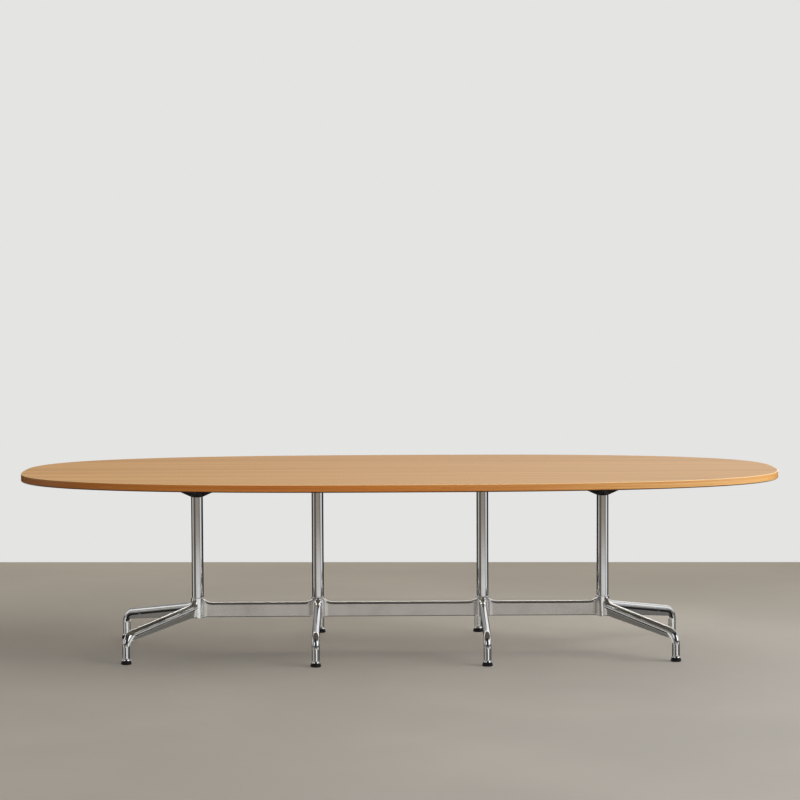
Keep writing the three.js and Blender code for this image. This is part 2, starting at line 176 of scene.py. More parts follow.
class Graph:
    """A node tree written as Python: every node comes from one method."""

    def __init__(self, tree: bpy.types.NodeTree) -> None:
        """Start on an emptied tree."""
        self.tree = tree
        tree.nodes.clear()

    @staticmethod
    def find(sockets: Sequence[bpy.types.NodeSocket], key: int | str) -> bpy.types.NodeSocket:
        """Find a socket.

        Args:
            sockets: a node's inputs or outputs.
            key: the socket's index, identifier or name.

        Returns:
            The socket.
        """
        if isinstance(key, int):
            return sockets[key]
        return next(s for s in sockets if key in (s.identifier, s.name))

    def node(
        self,
        kind: str,
        settings: dict[str, object] | None = None,
        inputs: dict[int | str, object] | None = None,
        output: int | str = 0,
    ) -> Value:
        """Add a node.

        Args:
            kind: the node's type.
            settings: the node's own settings, which are set first; stops fill a colour ramp.
            inputs: values or links of its sockets; a list links several values to one socket.
            output: the output that is handed back.

        Returns:
            That output.
        """
        made = self.tree.nodes.new(kind)
        for key, setting in (settings or {}).items():
            if key == "stops":
                self.fill_ramp(made.color_ramp, setting)
            else:
                setattr(made, key, setting)
        for key, value in (inputs or {}).items():
            socket = self.find(made.inputs, key)
            for entry in value if isinstance(value, list) else [value]:
                if isinstance(entry, Value):
                    self.tree.links.new(entry.socket, socket)
                else:
                    socket.default_value = entry
        has_output = len(made.outputs) > 0
        return Value(self, self.find(made.outputs, output) if has_output else made.inputs[0])

    @staticmethod
    def fill_ramp(ramp: bpy.types.ColorRamp, stops: Sequence[tuple[float, Colour]]) -> None:
        """Give a colour ramp its stops."""
        while len(ramp.elements) < len(stops):
            ramp.elements.new(1.0)
        for element, (place, colour) in zip(ramp.elements, stops):
            element.position = place
            element.color = colour

    def mix(self, share: "float | Value", first: object, second: object) -> Value:
        """Colour between two colours."""
        inputs = {"Factor_Float": share, "A_Color": first, "B_Color": second}
        return self.node("ShaderNodeMix", {"data_type": "RGBA"}, inputs, "Result_Color")

    def vector(self, x: object, y: object, z: object = 0.0) -> Value:
        """Vector of three numbers."""
        return self.node("ShaderNodeCombineXYZ", {}, {0: x, 1: y, 2: z})

    def parts(self, vector: Value) -> tuple[Value, Value, Value]:
        """The three numbers of a vector."""
        split = self.node("ShaderNodeSeparateXYZ", {}, {0: vector})
        return split, split.out(1), split.out(2)

    def place(self, kind: str = "Object") -> tuple[Value, Value, Value]:
        """The three numbers of a texture coordinate."""
        return self.parts(self.node("ShaderNodeTexCoord", output=kind))

    def noise(self, vector: Value, scale: float = 1.0, detail: float = 3.0, rough: float = 0.5) -> Value:
        """Noise of about 0 to 1 at a vector."""
        inputs = {"Vector": vector, "Scale": scale, "Detail": detail, "Roughness": rough}
        return self.node("ShaderNodeTexNoise", {}, inputs)

    def bump(self, height: Value, depth: float, strength: float = 1.0) -> Value:
        """Normal of a surface with a height between 0 and 1, its depth in millimetres."""
        inputs = {"Height": height, "Distance": depth * MM, "Strength": strength}
        return self.node("ShaderNodeBump", {}, inputs)


@dataclass(frozen=True)
class Finish:
    """A named material with one principled shader."""

    label: str

    def sockets(self, graph: Graph) -> dict[int | str, object]:
        """What the shader's sockets take."""
        raise NotImplementedError

    def material(self) -> bpy.types.Material:
        """The material, made on first use."""
        known = bpy.data.materials.get(self.label)
        if known:
            return known
        made = bpy.data.materials.new(self.label)
        made.use_nodes = True
        graph = Graph(made.node_tree)
        shader = graph.node("ShaderNodeBsdfPrincipled", {}, self.sockets(graph))
        graph.node("ShaderNodeOutputMaterial", {}, {"Surface": shader})
        return made


@dataclass(frozen=True)
class VeneerFinish(Finish):
    """Straight-grained veneer in lengthwise leaves under a satin lacquer."""

    leaf_width: float = 0.228
    joint_width: float = 0.0007
    light: Colour = tone(218, 166, 97)
    dark: Colour = tone(184, 130, 67)
    pore: Colour = tone(132, 86, 44)

    def sockets(self, graph: Graph) -> dict[int | str, object]:
        """Leaves, drifting bands, growth lines, fibres, pores and leaf joints."""
        x, y, _ = graph.place()
        across = y / self.leaf_width + 0.5
        leaf = across.math("FLOOR")
        within = across - leaf
        chance = graph.node("ShaderNodeTexWhiteNoise", {"noise_dimensions": "1D"}, {"W": leaf})
        drift = graph.noise(graph.vector(x * 0.55, y * 1.3, leaf * 5.7))
        grain = y + drift * 0.05 + chance * 3.1
        bands = graph.noise(graph.vector(x * 0.22, grain * 17.0), detail=2.0)
        lines = graph.noise(graph.vector(x * 0.6, grain * 120.0), detail=4.0, rough=0.6)
        fibre = graph.noise(graph.vector(x * 9.0, grain * 1100.0), detail=2.0)
        pores = (graph.noise(graph.vector(x * 55.0, grain * 1900.0), detail=1.0) - 0.6) * 6.0
        shade = 0.45 + (bands - 0.5) * 1.8 + (lines - 0.5) * 1.7 + (fibre - 0.5) * 0.35 + (chance - 0.5) * 0.22
        seam = (1.0 - within.math("MINIMUM", 1.0 - within) * self.leaf_width / self.joint_width).clamped()
        wood = graph.mix(shade.clamped(), self.light, self.dark)
        wood = graph.mix(pores.clamped() * 0.4, wood, self.pore)
        height = fibre - pores.clamped() * 0.6
        return {
            "Base Color": graph.mix(seam * 0.55, wood, self.pore),
            "Roughness": 0.4 + (fibre - 0.5) * 0.14 + pores.clamped() * 0.12,
            "Normal": graph.bump(height, 0.04, 0.5),
            "Specular IOR Level": 0.3,
        }


@dataclass(frozen=True)
class LippingFinish(Finish):
    """Solid timber edge: its grain runs round the board, along the band's own chart."""

    light: Colour = tone(232, 148, 62)
    # painted light: the tone that the band fades to at its right end, as if lit from that side
    pale: Colour = tone(250, 204, 126)
    dark: Colour = tone(192, 103, 34)
    # painted shade: the dark colour and the girth span of the band along the lower arris and the band's underside
    lower: Colour = tone(70, 36, 14)
    painted_shade_girth: tuple[float, float] = (0.0055, 0.0085)
    # painted highlight: the pale colour and the girth span of a light line along the upper arris
    upper: Colour = tone(253, 216, 152)
    painted_highlight_girth: tuple[float, float] = (0.0300, 0.0318)

    def sockets(self, graph: Graph) -> dict[int | str, object]:
        """Streaks along the band with fine fibres, painted shade on the lower arris, a painted highlight on the upper
        one, and painted light that pales the band towards its right end.
        """
        run, girth, _ = graph.place("UV")
        drift = graph.noise(graph.vector(run * 1.7, girth * 9.0)) * 0.012
        grain = girth + drift
        streaks = graph.noise(graph.vector(run * 1.1, grain * 190.0), detail=4.0, rough=0.6)
        fibre = graph.noise(graph.vector(run * 14.0, grain * 1500.0), detail=2.0)
        boards = graph.noise(graph.vector(run * 0.7, 0.0), detail=1.0)
        shade = 0.45 + (streaks - 0.5) * 1.5 + (fibre - 0.5) * 0.5 + (boards - 0.5) * 0.7
        # painted light: the wood is graded from its own tone at the left to paler at the right
        length = graph.place()[0]
        light = graph.mix(length.ramp(-0.2, 1.4), self.light, self.pale)
        wood = graph.mix(shade.clamped(), light, self.dark)
        # painted highlight along the upper arris
        wood = graph.mix(girth.ramp(*self.painted_highlight_girth) * 0.6, wood, self.upper)
        return {
            # painted shade darkens the lower arris and the band's underside
            "Base Color": graph.mix(girth.ramp(*self.painted_shade_girth), self.lower, wood),
            "Roughness": 0.36 + (fibre - 0.5) * 0.16,
            "Normal": graph.bump(fibre, 0.04, 0.5),
            "Specular IOR Level": 0.4,
            "Coat Weight": 0.35,
            "Coat Roughness": 0.2,
        }


@dataclass(frozen=True)
class MetalFinish(Finish):
    """Bright metal with polishing marks and faint handling haze."""

    colour: Colour = tone(228, 229, 231)
    rough: float = 0.09
    haze: float = 0.06
    marks: tuple[float, float, float] = (160.0, 160.0, 160.0)
    depth: float = 0.004

    def sockets(self, graph: Graph) -> dict[int | str, object]:
        """Haze in clouds and fine marks that follow the polishing."""
        x, y, z = graph.place()
        clouds = graph.noise(graph.vector(x * 9.0, y * 9.0, z * 9.0), detail=4.0)
        marks = graph.noise(graph.vector(x * self.marks[0], y * self.marks[1], z * self.marks[2]), detail=3.0)
        dull = tuple(level * 0.86 for level in self.colour[:3]) + (1.0,)
        return {
            "Base Color": graph.mix((clouds * 0.6 + marks * 0.4).ramp(0.4, 0.75), self.colour, dull),
            "Metallic": 1.0,
            "Roughness": self.rough + (clouds - 0.35) * self.haze + (marks - 0.5) * self.haze,
            "Normal": graph.bump(marks, self.depth, 0.4),
        }


@dataclass(frozen=True)
class PaintFinish(Finish):
    """Black paint over a sand-cast skin."""

    colour: Colour = tone(24, 24, 26)
    worn: Colour = tone(46, 46, 48)

    def sockets(self, graph: Graph) -> dict[int | str, object]:
        """Sand texture, with paler high spots."""
        x, y, z = graph.place()
        sand = graph.noise(graph.vector(x * 900.0, y * 900.0, z * 900.0), detail=4.0, rough=0.65)
        clouds = graph.noise(graph.vector(x * 30.0, y * 30.0, z * 30.0))
        return {
            "Base Color": graph.mix((sand * 0.5 + clouds * 0.5).ramp(0.45, 0.75), self.colour, self.worn),
            "Roughness": 0.46 + (sand - 0.5) * 0.3,
            "Normal": graph.bump(sand, 0.12, 0.6),
        }


@dataclass(frozen=True)
class MouldedFinish(Finish):
    """Glossy black moulding, scuffed towards the floor."""

    colour: Colour = tone(11, 11, 12)
    scuffed: Colour = tone(34, 33, 32)
    scuff_height: float = 0.006

    def sockets(self, graph: Graph) -> dict[int | str, object]:
        """Fine orange-peel skin, with dry scuffs near the floor."""
        x, y, z = graph.place()
        skin = graph.noise(graph.vector(x * 420.0, y * 420.0, z * 420.0), detail=2.0)
        rubs = graph.noise(graph.vector(x * 140.0, y * 140.0, z * 500.0), detail=4.0)
        scuff = (1.0 - z.ramp(0.0, self.scuff_height)) * rubs.ramp(0.45, 0.7)
        return {
            "Base Color": graph.mix(scuff * 0.7, self.colour, self.scuffed),
            "Roughness": 0.2 + (skin - 0.5) * 0.1 + scuff * 0.4,
            "Normal": graph.bump(skin, 0.02, 0.5),
            "Specular IOR Level": 0.3,
        }


@dataclass(frozen=True)
class BackingFinish(Finish):
    """Pale balancing sheet with a fine pressed texture."""

    colour: Colour = tone(222, 217, 208)
    fleck: Colour = tone(210, 203, 192)

    def sockets(self, graph: Graph) -> dict[int | str, object]:
        """Lengthwise flecks and a pebbled press mark."""
        x, y, z = graph.place()
        flecks = graph.noise(graph.vector(x * 30.0, y * 260.0, z), detail=4.0)
        pebble = graph.noise(graph.vector(x * 600.0, y * 600.0, z), detail=2.0)
        return {
            "Base Color": graph.mix(flecks.ramp(0.4, 0.75), self.colour, self.fleck),
            "Roughness": 0.62 + (pebble - 0.5) * 0.2,
            "Normal": graph.bump(pebble, 0.06, 0.5),
        }


@dataclass(frozen=True)
class ChipFinish(Finish):
    """Particle board: pale chips pressed at random."""

    pale: Colour = tone(196, 165, 120)
    deep: Colour = tone(140, 108, 68)

    def sockets(self, graph: Graph) -> dict[int | str, object]:
        """Chips of several tones with dark gaps."""
        x, y, z = graph.place()
        chips = graph.node(
            "ShaderNodeTexVoronoi", {}, {"Vector": graph.vector(x * 160.0, y * 260.0, z * 700.0), "Scale": 1.0}
        )
        chance = graph.node("ShaderNodeTexWhiteNoise", {}, {"Vector": chips.out("Color")})
        return {
            "Base Color": graph.mix(chance * 0.6 + chips * 0.3, self.pale, self.deep),
            "Roughness": 0.82 + (chance - 0.5) * 0.1,
            "Normal": graph.bump(chips, 0.3, 0.6),
        }


VENEER = VeneerFinish("veneer_leaves")
LIPPING = LippingFinish("timber_lipping")
CHROME = MetalFinish("plated_tube", tone(214, 216, 219), 0.05, 0.04, (700.0, 700.0, 9.0), 0.002)
POLISHED = MetalFinish("polished_casting", tone(238, 239, 240), 0.05, 0.05, (120.0, 120.0, 120.0), 0.006)
SATIN = MetalFinish("satin_casting", tone(214, 212, 209), 0.16, 0.05, (40.0, 40.0, 700.0), 0.003)
ZINC = MetalFinish("zinc_plate", tone(188, 190, 190), 0.32, 0.12, (300.0, 300.0, 300.0), 0.01)
PAINT = PaintFinish("black_cast_paint")
MOULDED = MouldedFinish("black_moulding")
BACKING = BackingFinish("balancing_sheet")
CHIPS = ChipFinish("particle_board")


def link(name: str, mesh: bpy.types.Mesh) -> bpy.types.Object:
    """New object of a mesh in the scene."""
    made = bpy.data.objects.new(name, mesh)
    bpy.context.scene.collection.objects.link(made)
    return made


def ease(mesh: bpy.types.Mesh, sharp: float = SHARP) -> None:
    """Shade a mesh smooth, apart from edges that turn by more than an angle in degrees."""
    mesh.polygons.foreach_set("use_smooth", [True] * len(mesh.polygons))
    mesh.set_sharp_from_angle(angle=math.radians(sharp))
    mesh.update()


def frozen(piece: bpy.types.Object) -> bpy.types.Object:
    """Turn a piece's modifiers into plain mesh."""
    graph = bpy.context.evaluated_depsgraph_get()
    mesh = bpy.data.meshes.new_from_object(piece.evaluated_get(graph))
    piece.modifiers.clear()
    old = piece.data
    piece.data = mesh
    bpy.data.meshes.remove(old)
    mesh.name = piece.name
    return piece


def united(first: bpy.types.Object, *others: bpy.types.Object) -> bpy.types.Object:
    """Join closed pieces to the first one as one skin.

    Args:
        first: the piece that stays.
        others: the pieces that go into it.

    Returns:
        The first piece.
    """
    for other in others:
        cut = first.modifiers.new("join", "BOOLEAN")
        cut.operation = "UNION"
        cut.solver = "MANIFOLD"
        cut.object = other
    frozen(first)
    for other in others:
        bpy.data.objects.remove(other)
    ease(first.data)
    return first


def seat(piece: bpy.types.Object, body: str, slot: Slot, *nodes: str) -> None:
    """Let a piece ride on its body in place of its CAD nodes, and report it.

    Args:
        piece: the finished piece.
        body: the CAD body that carries it.
        slot: the record's material slot; not used.
        nodes: the CAD nodes that it stands for.
    """
    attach(piece, body)
    if nodes:
        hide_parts(*nodes)
    LOG.info("%s: %d faces on %s", piece.name, len(piece.data.polygons), body)


class Shell:
    """Points and faces of a skin in millimetres, with a finish number and chart corners on every face."""

    def __init__(self) -> None:
        """Start with nothing."""
        self.points: list[np.ndarray] = []
        self.faces: list[list[int]] = []
        self.marks: list[int] = []
        self.chart: list[tuple[float, float]] = []

    def rings(
        self,
        rings: np.ndarray,
        marks: Sequence[int] | None = None,
        wrap: bool = False,
        chart: np.ndarray | None = None,
    ) -> "Shell":
        """Skin a stack of closed rings.

        Args:
            rings: rings by points by coordinates.
            marks: finish number of each step round a ring.
            wrap: whether the last ring joins the first.
            chart: chart corners, one more each way than the points.

        Returns:
            The shell itself.
        """
        base = sum(len(block) for block in self.points)
        rows, size = rings.shape[:2]
        self.points.append(rings.reshape(-1, 3))
        for row in range(rows if wrap else rows - 1):
            for step in range(size):
                corners = ((row, step), (row, step + 1), (row + 1, step + 1), (row + 1, step))
                self.faces.append([base + (r % rows) * size + c % size for r, c in corners])
                self.marks.append(marks[step] if marks else 0)
                self.chart.extend((0.0, 0.0) if chart is None else tuple(chart[r, c]) for r, c in corners)
        return self

    def lid(self, ring: np.ndarray, mark: int = 0) -> "Shell":
        """Close a ring with one face."""
        base = sum(len(block) for block in self.points)
        self.points.append(ring)
        self.faces.append(list(range(base, base + len(ring))))
        self.marks.append(mark)
        self.chart.extend([(0.0, 0.0)] * len(ring))
        return self

    def loft(self, rings: np.ndarray, marks: Sequence[int] | None = None) -> "Shell":
        """Skin a stack of rings and close both ends."""
        return self.rings(rings, marks).lid(rings[0]).lid(rings[-1])

    def build(self, name: str, *finishes: Finish, place: Matrix = Matrix()) -> bpy.types.Object:
        """Make the object.

        Args:
            name: the piece's name.
            finishes: the finishes that the marks count.
            place: where the skin goes, in millimetres.

        Returns:
            The object, at the origin, with its place in its mesh.
        """
        mesh = bpy.data.meshes.new(name)
        mesh.from_pydata(np.concatenate(self.points), [], self.faces)
        for finish in finishes:
            mesh.materials.append(finish.material())
        mesh.polygons.foreach_set("material_index", self.marks)
        if any(self.chart):
            layer = mesh.uv_layers.new(name="chart")
            layer.data.foreach_set("uv", np.array(self.chart).ravel())
        mesh.transform(Matrix.Scale(MM, 4) @ place)
        skin = bmesh.new()
        skin.from_mesh(mesh)
        bmesh.ops.remove_doubles(skin, verts=skin.verts, dist=MERGE)
        bmesh.ops.dissolve_degenerate(skin, edges=skin.edges, dist=MERGE / 10)
        bmesh.ops.recalc_face_normals(skin, faces=skin.faces)
        skin.to_mesh(mesh)
        skin.free()
        ease(mesh)
        return link(name, mesh)


def rounded(corners: Sequence[tuple[float, float, float]], steps: int = 5) -> np.ndarray:
    """Closed outline through corners, each eased by its own radius.

    Args:
        corners: across, up and radius of each corner.
        steps: steps of each eased corner.

    Returns:
        Points of the outline, across and up.
    """
    places = np.array([corner[:2] for corner in corners], float)
    outline: list[np.ndarray] = []
    for index, corner in enumerate(corners):
        here, radius = places[index], corner[2]
        if radius <= 0:
            outline.append(here)
            continue
        back = places[index - 1] - here
        ahead = places[(index + 1) % len(corners)] - here
        back, ahead = back / np.linalg.norm(back), ahead / np.linalg.norm(ahead)
        half = math.acos(np.clip(back @ ahead, -1, 1)) / 2
        middle = (back + ahead) / np.linalg.norm(back + ahead)
        centre = here + middle * radius / math.sin(half)
        start = here + back * radius / math.tan(half) - centre
        end = here + ahead * radius / math.tan(half) - centre
        for share in np.linspace(0, 1, steps + 1):
            turn = start * (1 - share) + end * share
            outline.append(centre + turn * radius / np.linalg.norm(turn))
    return np.array(outline)


def held(outline: np.ndarray, least: float = 5.0, margin: float = 0.4) -> np.ndarray:
    """Closed outline with a point near both ends of each long edge, which keeps its shading straight.

    Args:
        outline: points across and up.
        least: length from which an edge counts as long.
        margin: distance of the new points from the edge's ends.

    Returns:
        Points of the outline.
    """
    points: list[np.ndarray] = []
    for here, ahead in zip(outline, np.roll(outline, -1, axis=0)):
        points.append(here)
        length = np.linalg.norm(ahead - here)
        if length >= least:
            step = (ahead - here) * margin / length
            points += [here + step, ahead - step]
    return np.array(points)


def lathe(profile: np.ndarray, sides: int) -> np.ndarray:
    """Rings of a closed profile of radius and height, turned about the upright axis."""
    angles = np.linspace(0, 2 * math.pi, sides, endpoint=False)
    across = profile[:, :1] * np.cos(angles)
    along = profile[:, :1] * np.sin(angles)
    up = np.repeat(profile[:, 1:], sides, axis=1)
    return np.stack([across, along, up], axis=-1)


def turned(name: str, corners: Sequence[tuple[float, float, float]], finish: Finish, place: Matrix,
           sides: int = 64) -> bpy.types.Object:
    """Turned piece.

    Args:
        name: the piece's name.
        corners: radius, height and easing of the profile's corners.
        finish: its finish.
        place: where its axis stands.
        sides: steps round the axis.

    Returns:
        The object.
    """
    return Shell().rings(lathe(held(rounded(corners)), sides), wrap=True).build(name, finish, place=place)


def upright(x: float, y: float = 0.0, turn: float = 0.0) -> Matrix:
    """Place on the floor plan, in millimetres, turned about the upright axis by radians."""
    return Matrix.Translation((x, y, 0)) @ Matrix.Rotation(turn, 4, "Z")


class NodeShape:
    """A Geometry Nodes tree with named inputs, which makes a plain mesh."""

    def __init__(self, label: str, sizes: Sequence[str]) -> None:
        """Start a tree with its inputs.

        Args:
            label: the tree's name.
            sizes: names of its size inputs.
        """
        self.tree = bpy.data.node_groups.new(label, "GeometryNodeTree")
        face = self.tree.interface
        face.new_socket("Geometry", in_out="INPUT", socket_type="NodeSocketGeometry")
        for size in sizes:
            face.new_socket(size, in_out="INPUT", socket_type="NodeSocketFloat")
        face.new_socket("Finish", in_out="INPUT", socket_type="NodeSocketMaterial")
        face.new_socket("Geometry", in_out="OUTPUT", socket_type="NodeSocketGeometry")
        self.graph = Graph(self.tree)
        self.given = self.graph.node("NodeGroupInput")

    def close(self, shape: Value) -> None:
        """End the tree in plain faces with the finish."""
        plain = self.graph.node("GeometryNodeRealizeInstances", {}, {"Geometry": shape})
        dressed = {"Geometry": plain, "Material": self.given.out("Finish")}
        done = self.graph.node("GeometryNodeSetMaterial", {}, dressed)
        self.graph.node("NodeGroupOutput", {}, {"Geometry": done})

    def build(self, name: str, seed: bpy.types.Mesh, finish: Finish, **sizes: float) -> bpy.types.Object:
        """Run the tree on a mesh.

        Args:
            name: the piece's name.
            seed: the mesh that the tree starts from.
            finish: the piece's finish.
            sizes: metres or plain numbers by input name, with low lines for spaces.

        Returns:
            The object as plain mesh.
        """
        piece = link(name, seed)
        step = piece.modifiers.new("shape", "NODES")
        step.node_group = self.tree
        values: dict[str, object] = {key.replace("_", " "): value for key, value in sizes.items()}
        values["Finish"] = finish.material()
        for item in self.tree.interface.items_tree:
            if item.in_out == "INPUT" and item.name in values:
                step[item.identifier] = values[item.name]
        frozen(piece)
        ease(piece.data)
        return piece


@dataclass
class TableTop:
    """Veneered board inside a solid timber lipping, outlined by a superellipse."""

    power: float = 2.7
    lipping_width: float = 5.0
    lower_arris: float = 4.0
    upper_arris: float = 2.0
    steps: int = 720

    def __post_init__(self) -> None:
        """Take the sizes from the frame."""
        low, high = span("edge_lipping")
        self.half_length, self.half_width = (high[:2] - low[:2]) / 2
        self.bottom, self.top = low[2], high[2]

    def outline(self, inset: float) -> np.ndarray:
        """Points of the outline, moved in from the edge."""
        angles = np.linspace(0, 2 * math.pi, self.steps, endpoint=False)
        unit = np.stack([np.cos(angles), np.sin(angles)], axis=1)
        unit = np.sign(unit) * np.abs(unit) ** (2 / self.power)
        half = np.array([self.half_length, self.half_width])
        normal = np.sign(unit) * np.abs(unit) ** (self.power - 1) / half
        return unit * half - inset * normal / np.linalg.norm(normal, axis=1, keepdims=True)

    def board_shape(self) -> NodeShape:
        """Tree of a flat board with the same outline.

        Returns:
            The tree, with the half sizes, the outline's power, the inset, the bottom and the thickness.
        """
        shape = NodeShape("oval_board", ("Half Length", "Half Width", "Power", "Inset", "Bottom", "Thickness"))
        graph, given = shape.graph, shape.given
        power = given.out("Power")
        halves = given.out("Half Length"), given.out("Half Width")
        disc = graph.node("GeometryNodeMeshCircle", {"fill_type": "NGON"}, {"Vertices": self.steps})
        angle = graph.node("GeometryNodeInputIndex") * (2 * math.pi / self.steps)
        unit = [
            turn.math("SIGN") * turn.math("ABSOLUTE") ** (2.0 / power)
            for turn in (angle.math("COSINE"), angle.math("SINE"))
        ]
        normal = [
            axis.math("SIGN") * axis.math("ABSOLUTE") ** (power - 1.0) / half for axis, half in zip(unit, halves)
        ]
        length = (normal[0] * normal[0] + normal[1] * normal[1]) ** 0.5
        edge = [
            axis * half - given.out("Inset") * away / length for axis, half, away in zip(unit, halves, normal)
        ]
        place = graph.vector(edge[0], edge[1], given.out("Bottom"))
        face = graph.node("GeometryNodeSetPosition", {}, {"Geometry": disc, "Position": place})
        raised = graph.node(
            "GeometryNodeExtrudeMesh", {"mode": "FACES"}, {"Mesh": face, "Offset Scale": given.out("Thickness")}
        )
        under = graph.node("GeometryNodeFlipFaces", {}, {"Mesh": face})
        both = graph.node("GeometryNodeJoinGeometry", {}, {"Geometry": [raised, under]})
        shape.close(graph.node("GeometryNodeMergeByDistance", {}, {"Geometry": both, "Distance": MERGE}))
        return shape

    def lay_sheets(self) -> None:
        """Make the veneer and the backing, and dress the board between them."""
        shape = self.board_shape()
        sheets = (
            ("veneer_panel", "top_veneer", VENEER, Slot.VENEER),
            ("backing_panel", "backing_sheet", BACKING, Slot.BACKING),
        )
        for name, node, finish, slot in sheets:
            low, high = span(node)
            piece = shape.build(
                name,
                bpy.data.meshes.new(name),
                finish,
                Half_Length=self.half_length * MM,
                Half_Width=self.half_width * MM,
                Power=self.power,
                Inset=self.lipping_width * MM,
                Bottom=low[2] * MM,
                Thickness=(high[2] - low[2]) * MM,
            )
            seat(piece, BASE, slot, node)
        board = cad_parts["top_core"]
        board.data.materials.clear()
        board.data.materials.append(CHIPS.material())

    def lay_lipping(self) -> None:
        """Make the timber band with eased arrises, charted by its run and its girth."""
        profile = rounded(
            (
                (self.lipping_width, self.bottom, 0),
                (0, self.bottom, self.lower_arris),
                (0, self.top, self.upper_arris),
                (self.lipping_width, self.top, 0),
            ),
            steps=6,
        )
        rings = np.array([[(x, y, up) for x, y in self.outline(inset)] for inset, up in profile])
        run = np.linalg.norm(np.diff(rings[0], axis=0, append=rings[0][:1]), axis=1)
        girth = np.linalg.norm(np.diff(profile, axis=0, append=profile[:1]), axis=1)
        along = np.concatenate([[0], np.cumsum(run)]) * MM
        around = np.concatenate([[0], np.cumsum(girth)]) * MM
        chart = np.stack(np.meshgrid(along, around), axis=-1)
        piece = Shell().rings(rings, wrap=True, chart=chart).build("lipping_band", LIPPING)
        seat(piece, BASE, Slot.LIPPING, "edge_lipping")

    def build(self) -> None:
        """Make the whole top."""
        self.lay_sheets()
        self.lay_lipping()


@dataclass
class Hub:
    """The built-up hub at the foot of a column, and the shape of what spreads into it."""

    wall: float = 3.0
    arris: float = 1.2
    mouth: float = 0.9
    seam: float = 0.6
    seam_edge: float = 0.5
    cone_width: float = 4.0
    cone_rise: float = 3.0
    tube_wall: float = 2.5
    core_inset: float = 13.0
    core_floor: float = 5.0
    root_spread: float = 38.0
    root_rim: float = 2.0
    root_bite: float = 1.0
    crown_length: float = 34.0
    side_length: float = 18.0
    root_steps: int = 14
    sector_steps: int = 40

    def __post_init__(self) -> None:
        """Take the levels and the column's radius from the frame."""
        tube_low, tube_high = span("column_left_end")
        bar_low, bar_high = span("stretcher_left")
        self.column = (tube_high[1] - tube_low[1]) / 2
        self.column_foot = tube_low[2]
        self.bottom, self.top = bar_low[2], bar_high[2]
        self.bore = self.column + CLEARANCE
        self.radius = self.bore + self.wall
        self.spigot = self.column - self.tube_wall - CLEARANCE
        self.cone = self.spigot + self.cone_width
        self.core_bottom = self.bottom + self.core_inset
        self.root_half = self.radius * math.sin(math.radians(self.root_spread))

    def cone_level(self, radius: float) -> float:
        """Level of the coned seat at a radius."""
        fall = (radius - self.spigot) * self.cone_rise / self.cone_width
        return self.core_bottom + self.core_floor + fall

    @staticmethod
    def share(distance: float, length: float) -> float:
        """Share of a concave root that is left at a distance from the hub wall."""
        along = min(max(distance / length, 0), 1)
        return 1 - math.sqrt(1 - (1 - along) ** 2)

    def root_stops(self) -> np.ndarray:
        """Distances from the hub wall at which a root has a section."""
        grown = (np.arange(self.root_steps + 1) / self.root_steps) ** 1.7 * self.crown_length
        return np.concatenate([[-self.root_bite], grown])

    def wrap(self, reach: float, sides: np.ndarray) -> np.ndarray:
        """How far a root's section is drawn back on to the round hub at each point across it."""
        share = self.share(reach - self.radius, self.side_length)
        return (self.radius - np.sqrt(self.radius**2 - sides**2)) * share

    def sector(self, name: str, start: float, end: float, place: Matrix) -> bpy.types.Object:
        """The share of the hub that belongs to one casting.

        Args:
            name: the piece's name.
            start: first angle of the sector in degrees.
            end: last angle of the sector in degrees.
            place: where the hub's axis stands.

        Returns:
            The object.
        """
        cone_bore, spigot_bore = self.cone + CLEARANCE, self.spigot + CLEARANCE
        seat_gap = 2 * CLEARANCE
        corners = (
            (self.radius, self.bottom, self.arris / 2),
            (self.radius, self.top, self.arris),
            (self.bore + self.mouth, self.top, 0),
            (self.bore, self.top - self.mouth, 0),
            (self.bore, self.column_foot, 0),
            (spigot_bore, self.column_foot, 0),
            (spigot_bore, self.cone_level(spigot_bore) + seat_gap, 0),
            (cone_bore, self.cone_level(cone_bore) + seat_gap, 0),
            (cone_bore, self.bottom, 0),
        )
        profile = held(rounded(corners, steps=4))
        radii, levels = profile[:, 0], profile[:, 1]
        outer = radii > self.radius - self.arris
        rings = []
        turns = np.linspace(0, 1, self.sector_steps + 1)
        for index, turn in enumerate(turns):
            edge = index in (0, len(turns) - 1)
            reach = np.where(outer & edge, radii - self.seam_edge, radii)
            gap = np.arcsin(self.seam / 2 / reach)
            angle = math.radians(start) + gap + turn * (math.radians(end - start) - 2 * gap)
            rings.append(np.stack([reach * np.cos(angle), reach * np.sin(angle), levels], axis=1))
        return Shell().loft(np.array(rings)).build(name, POLISHED, SATIN, place=place)


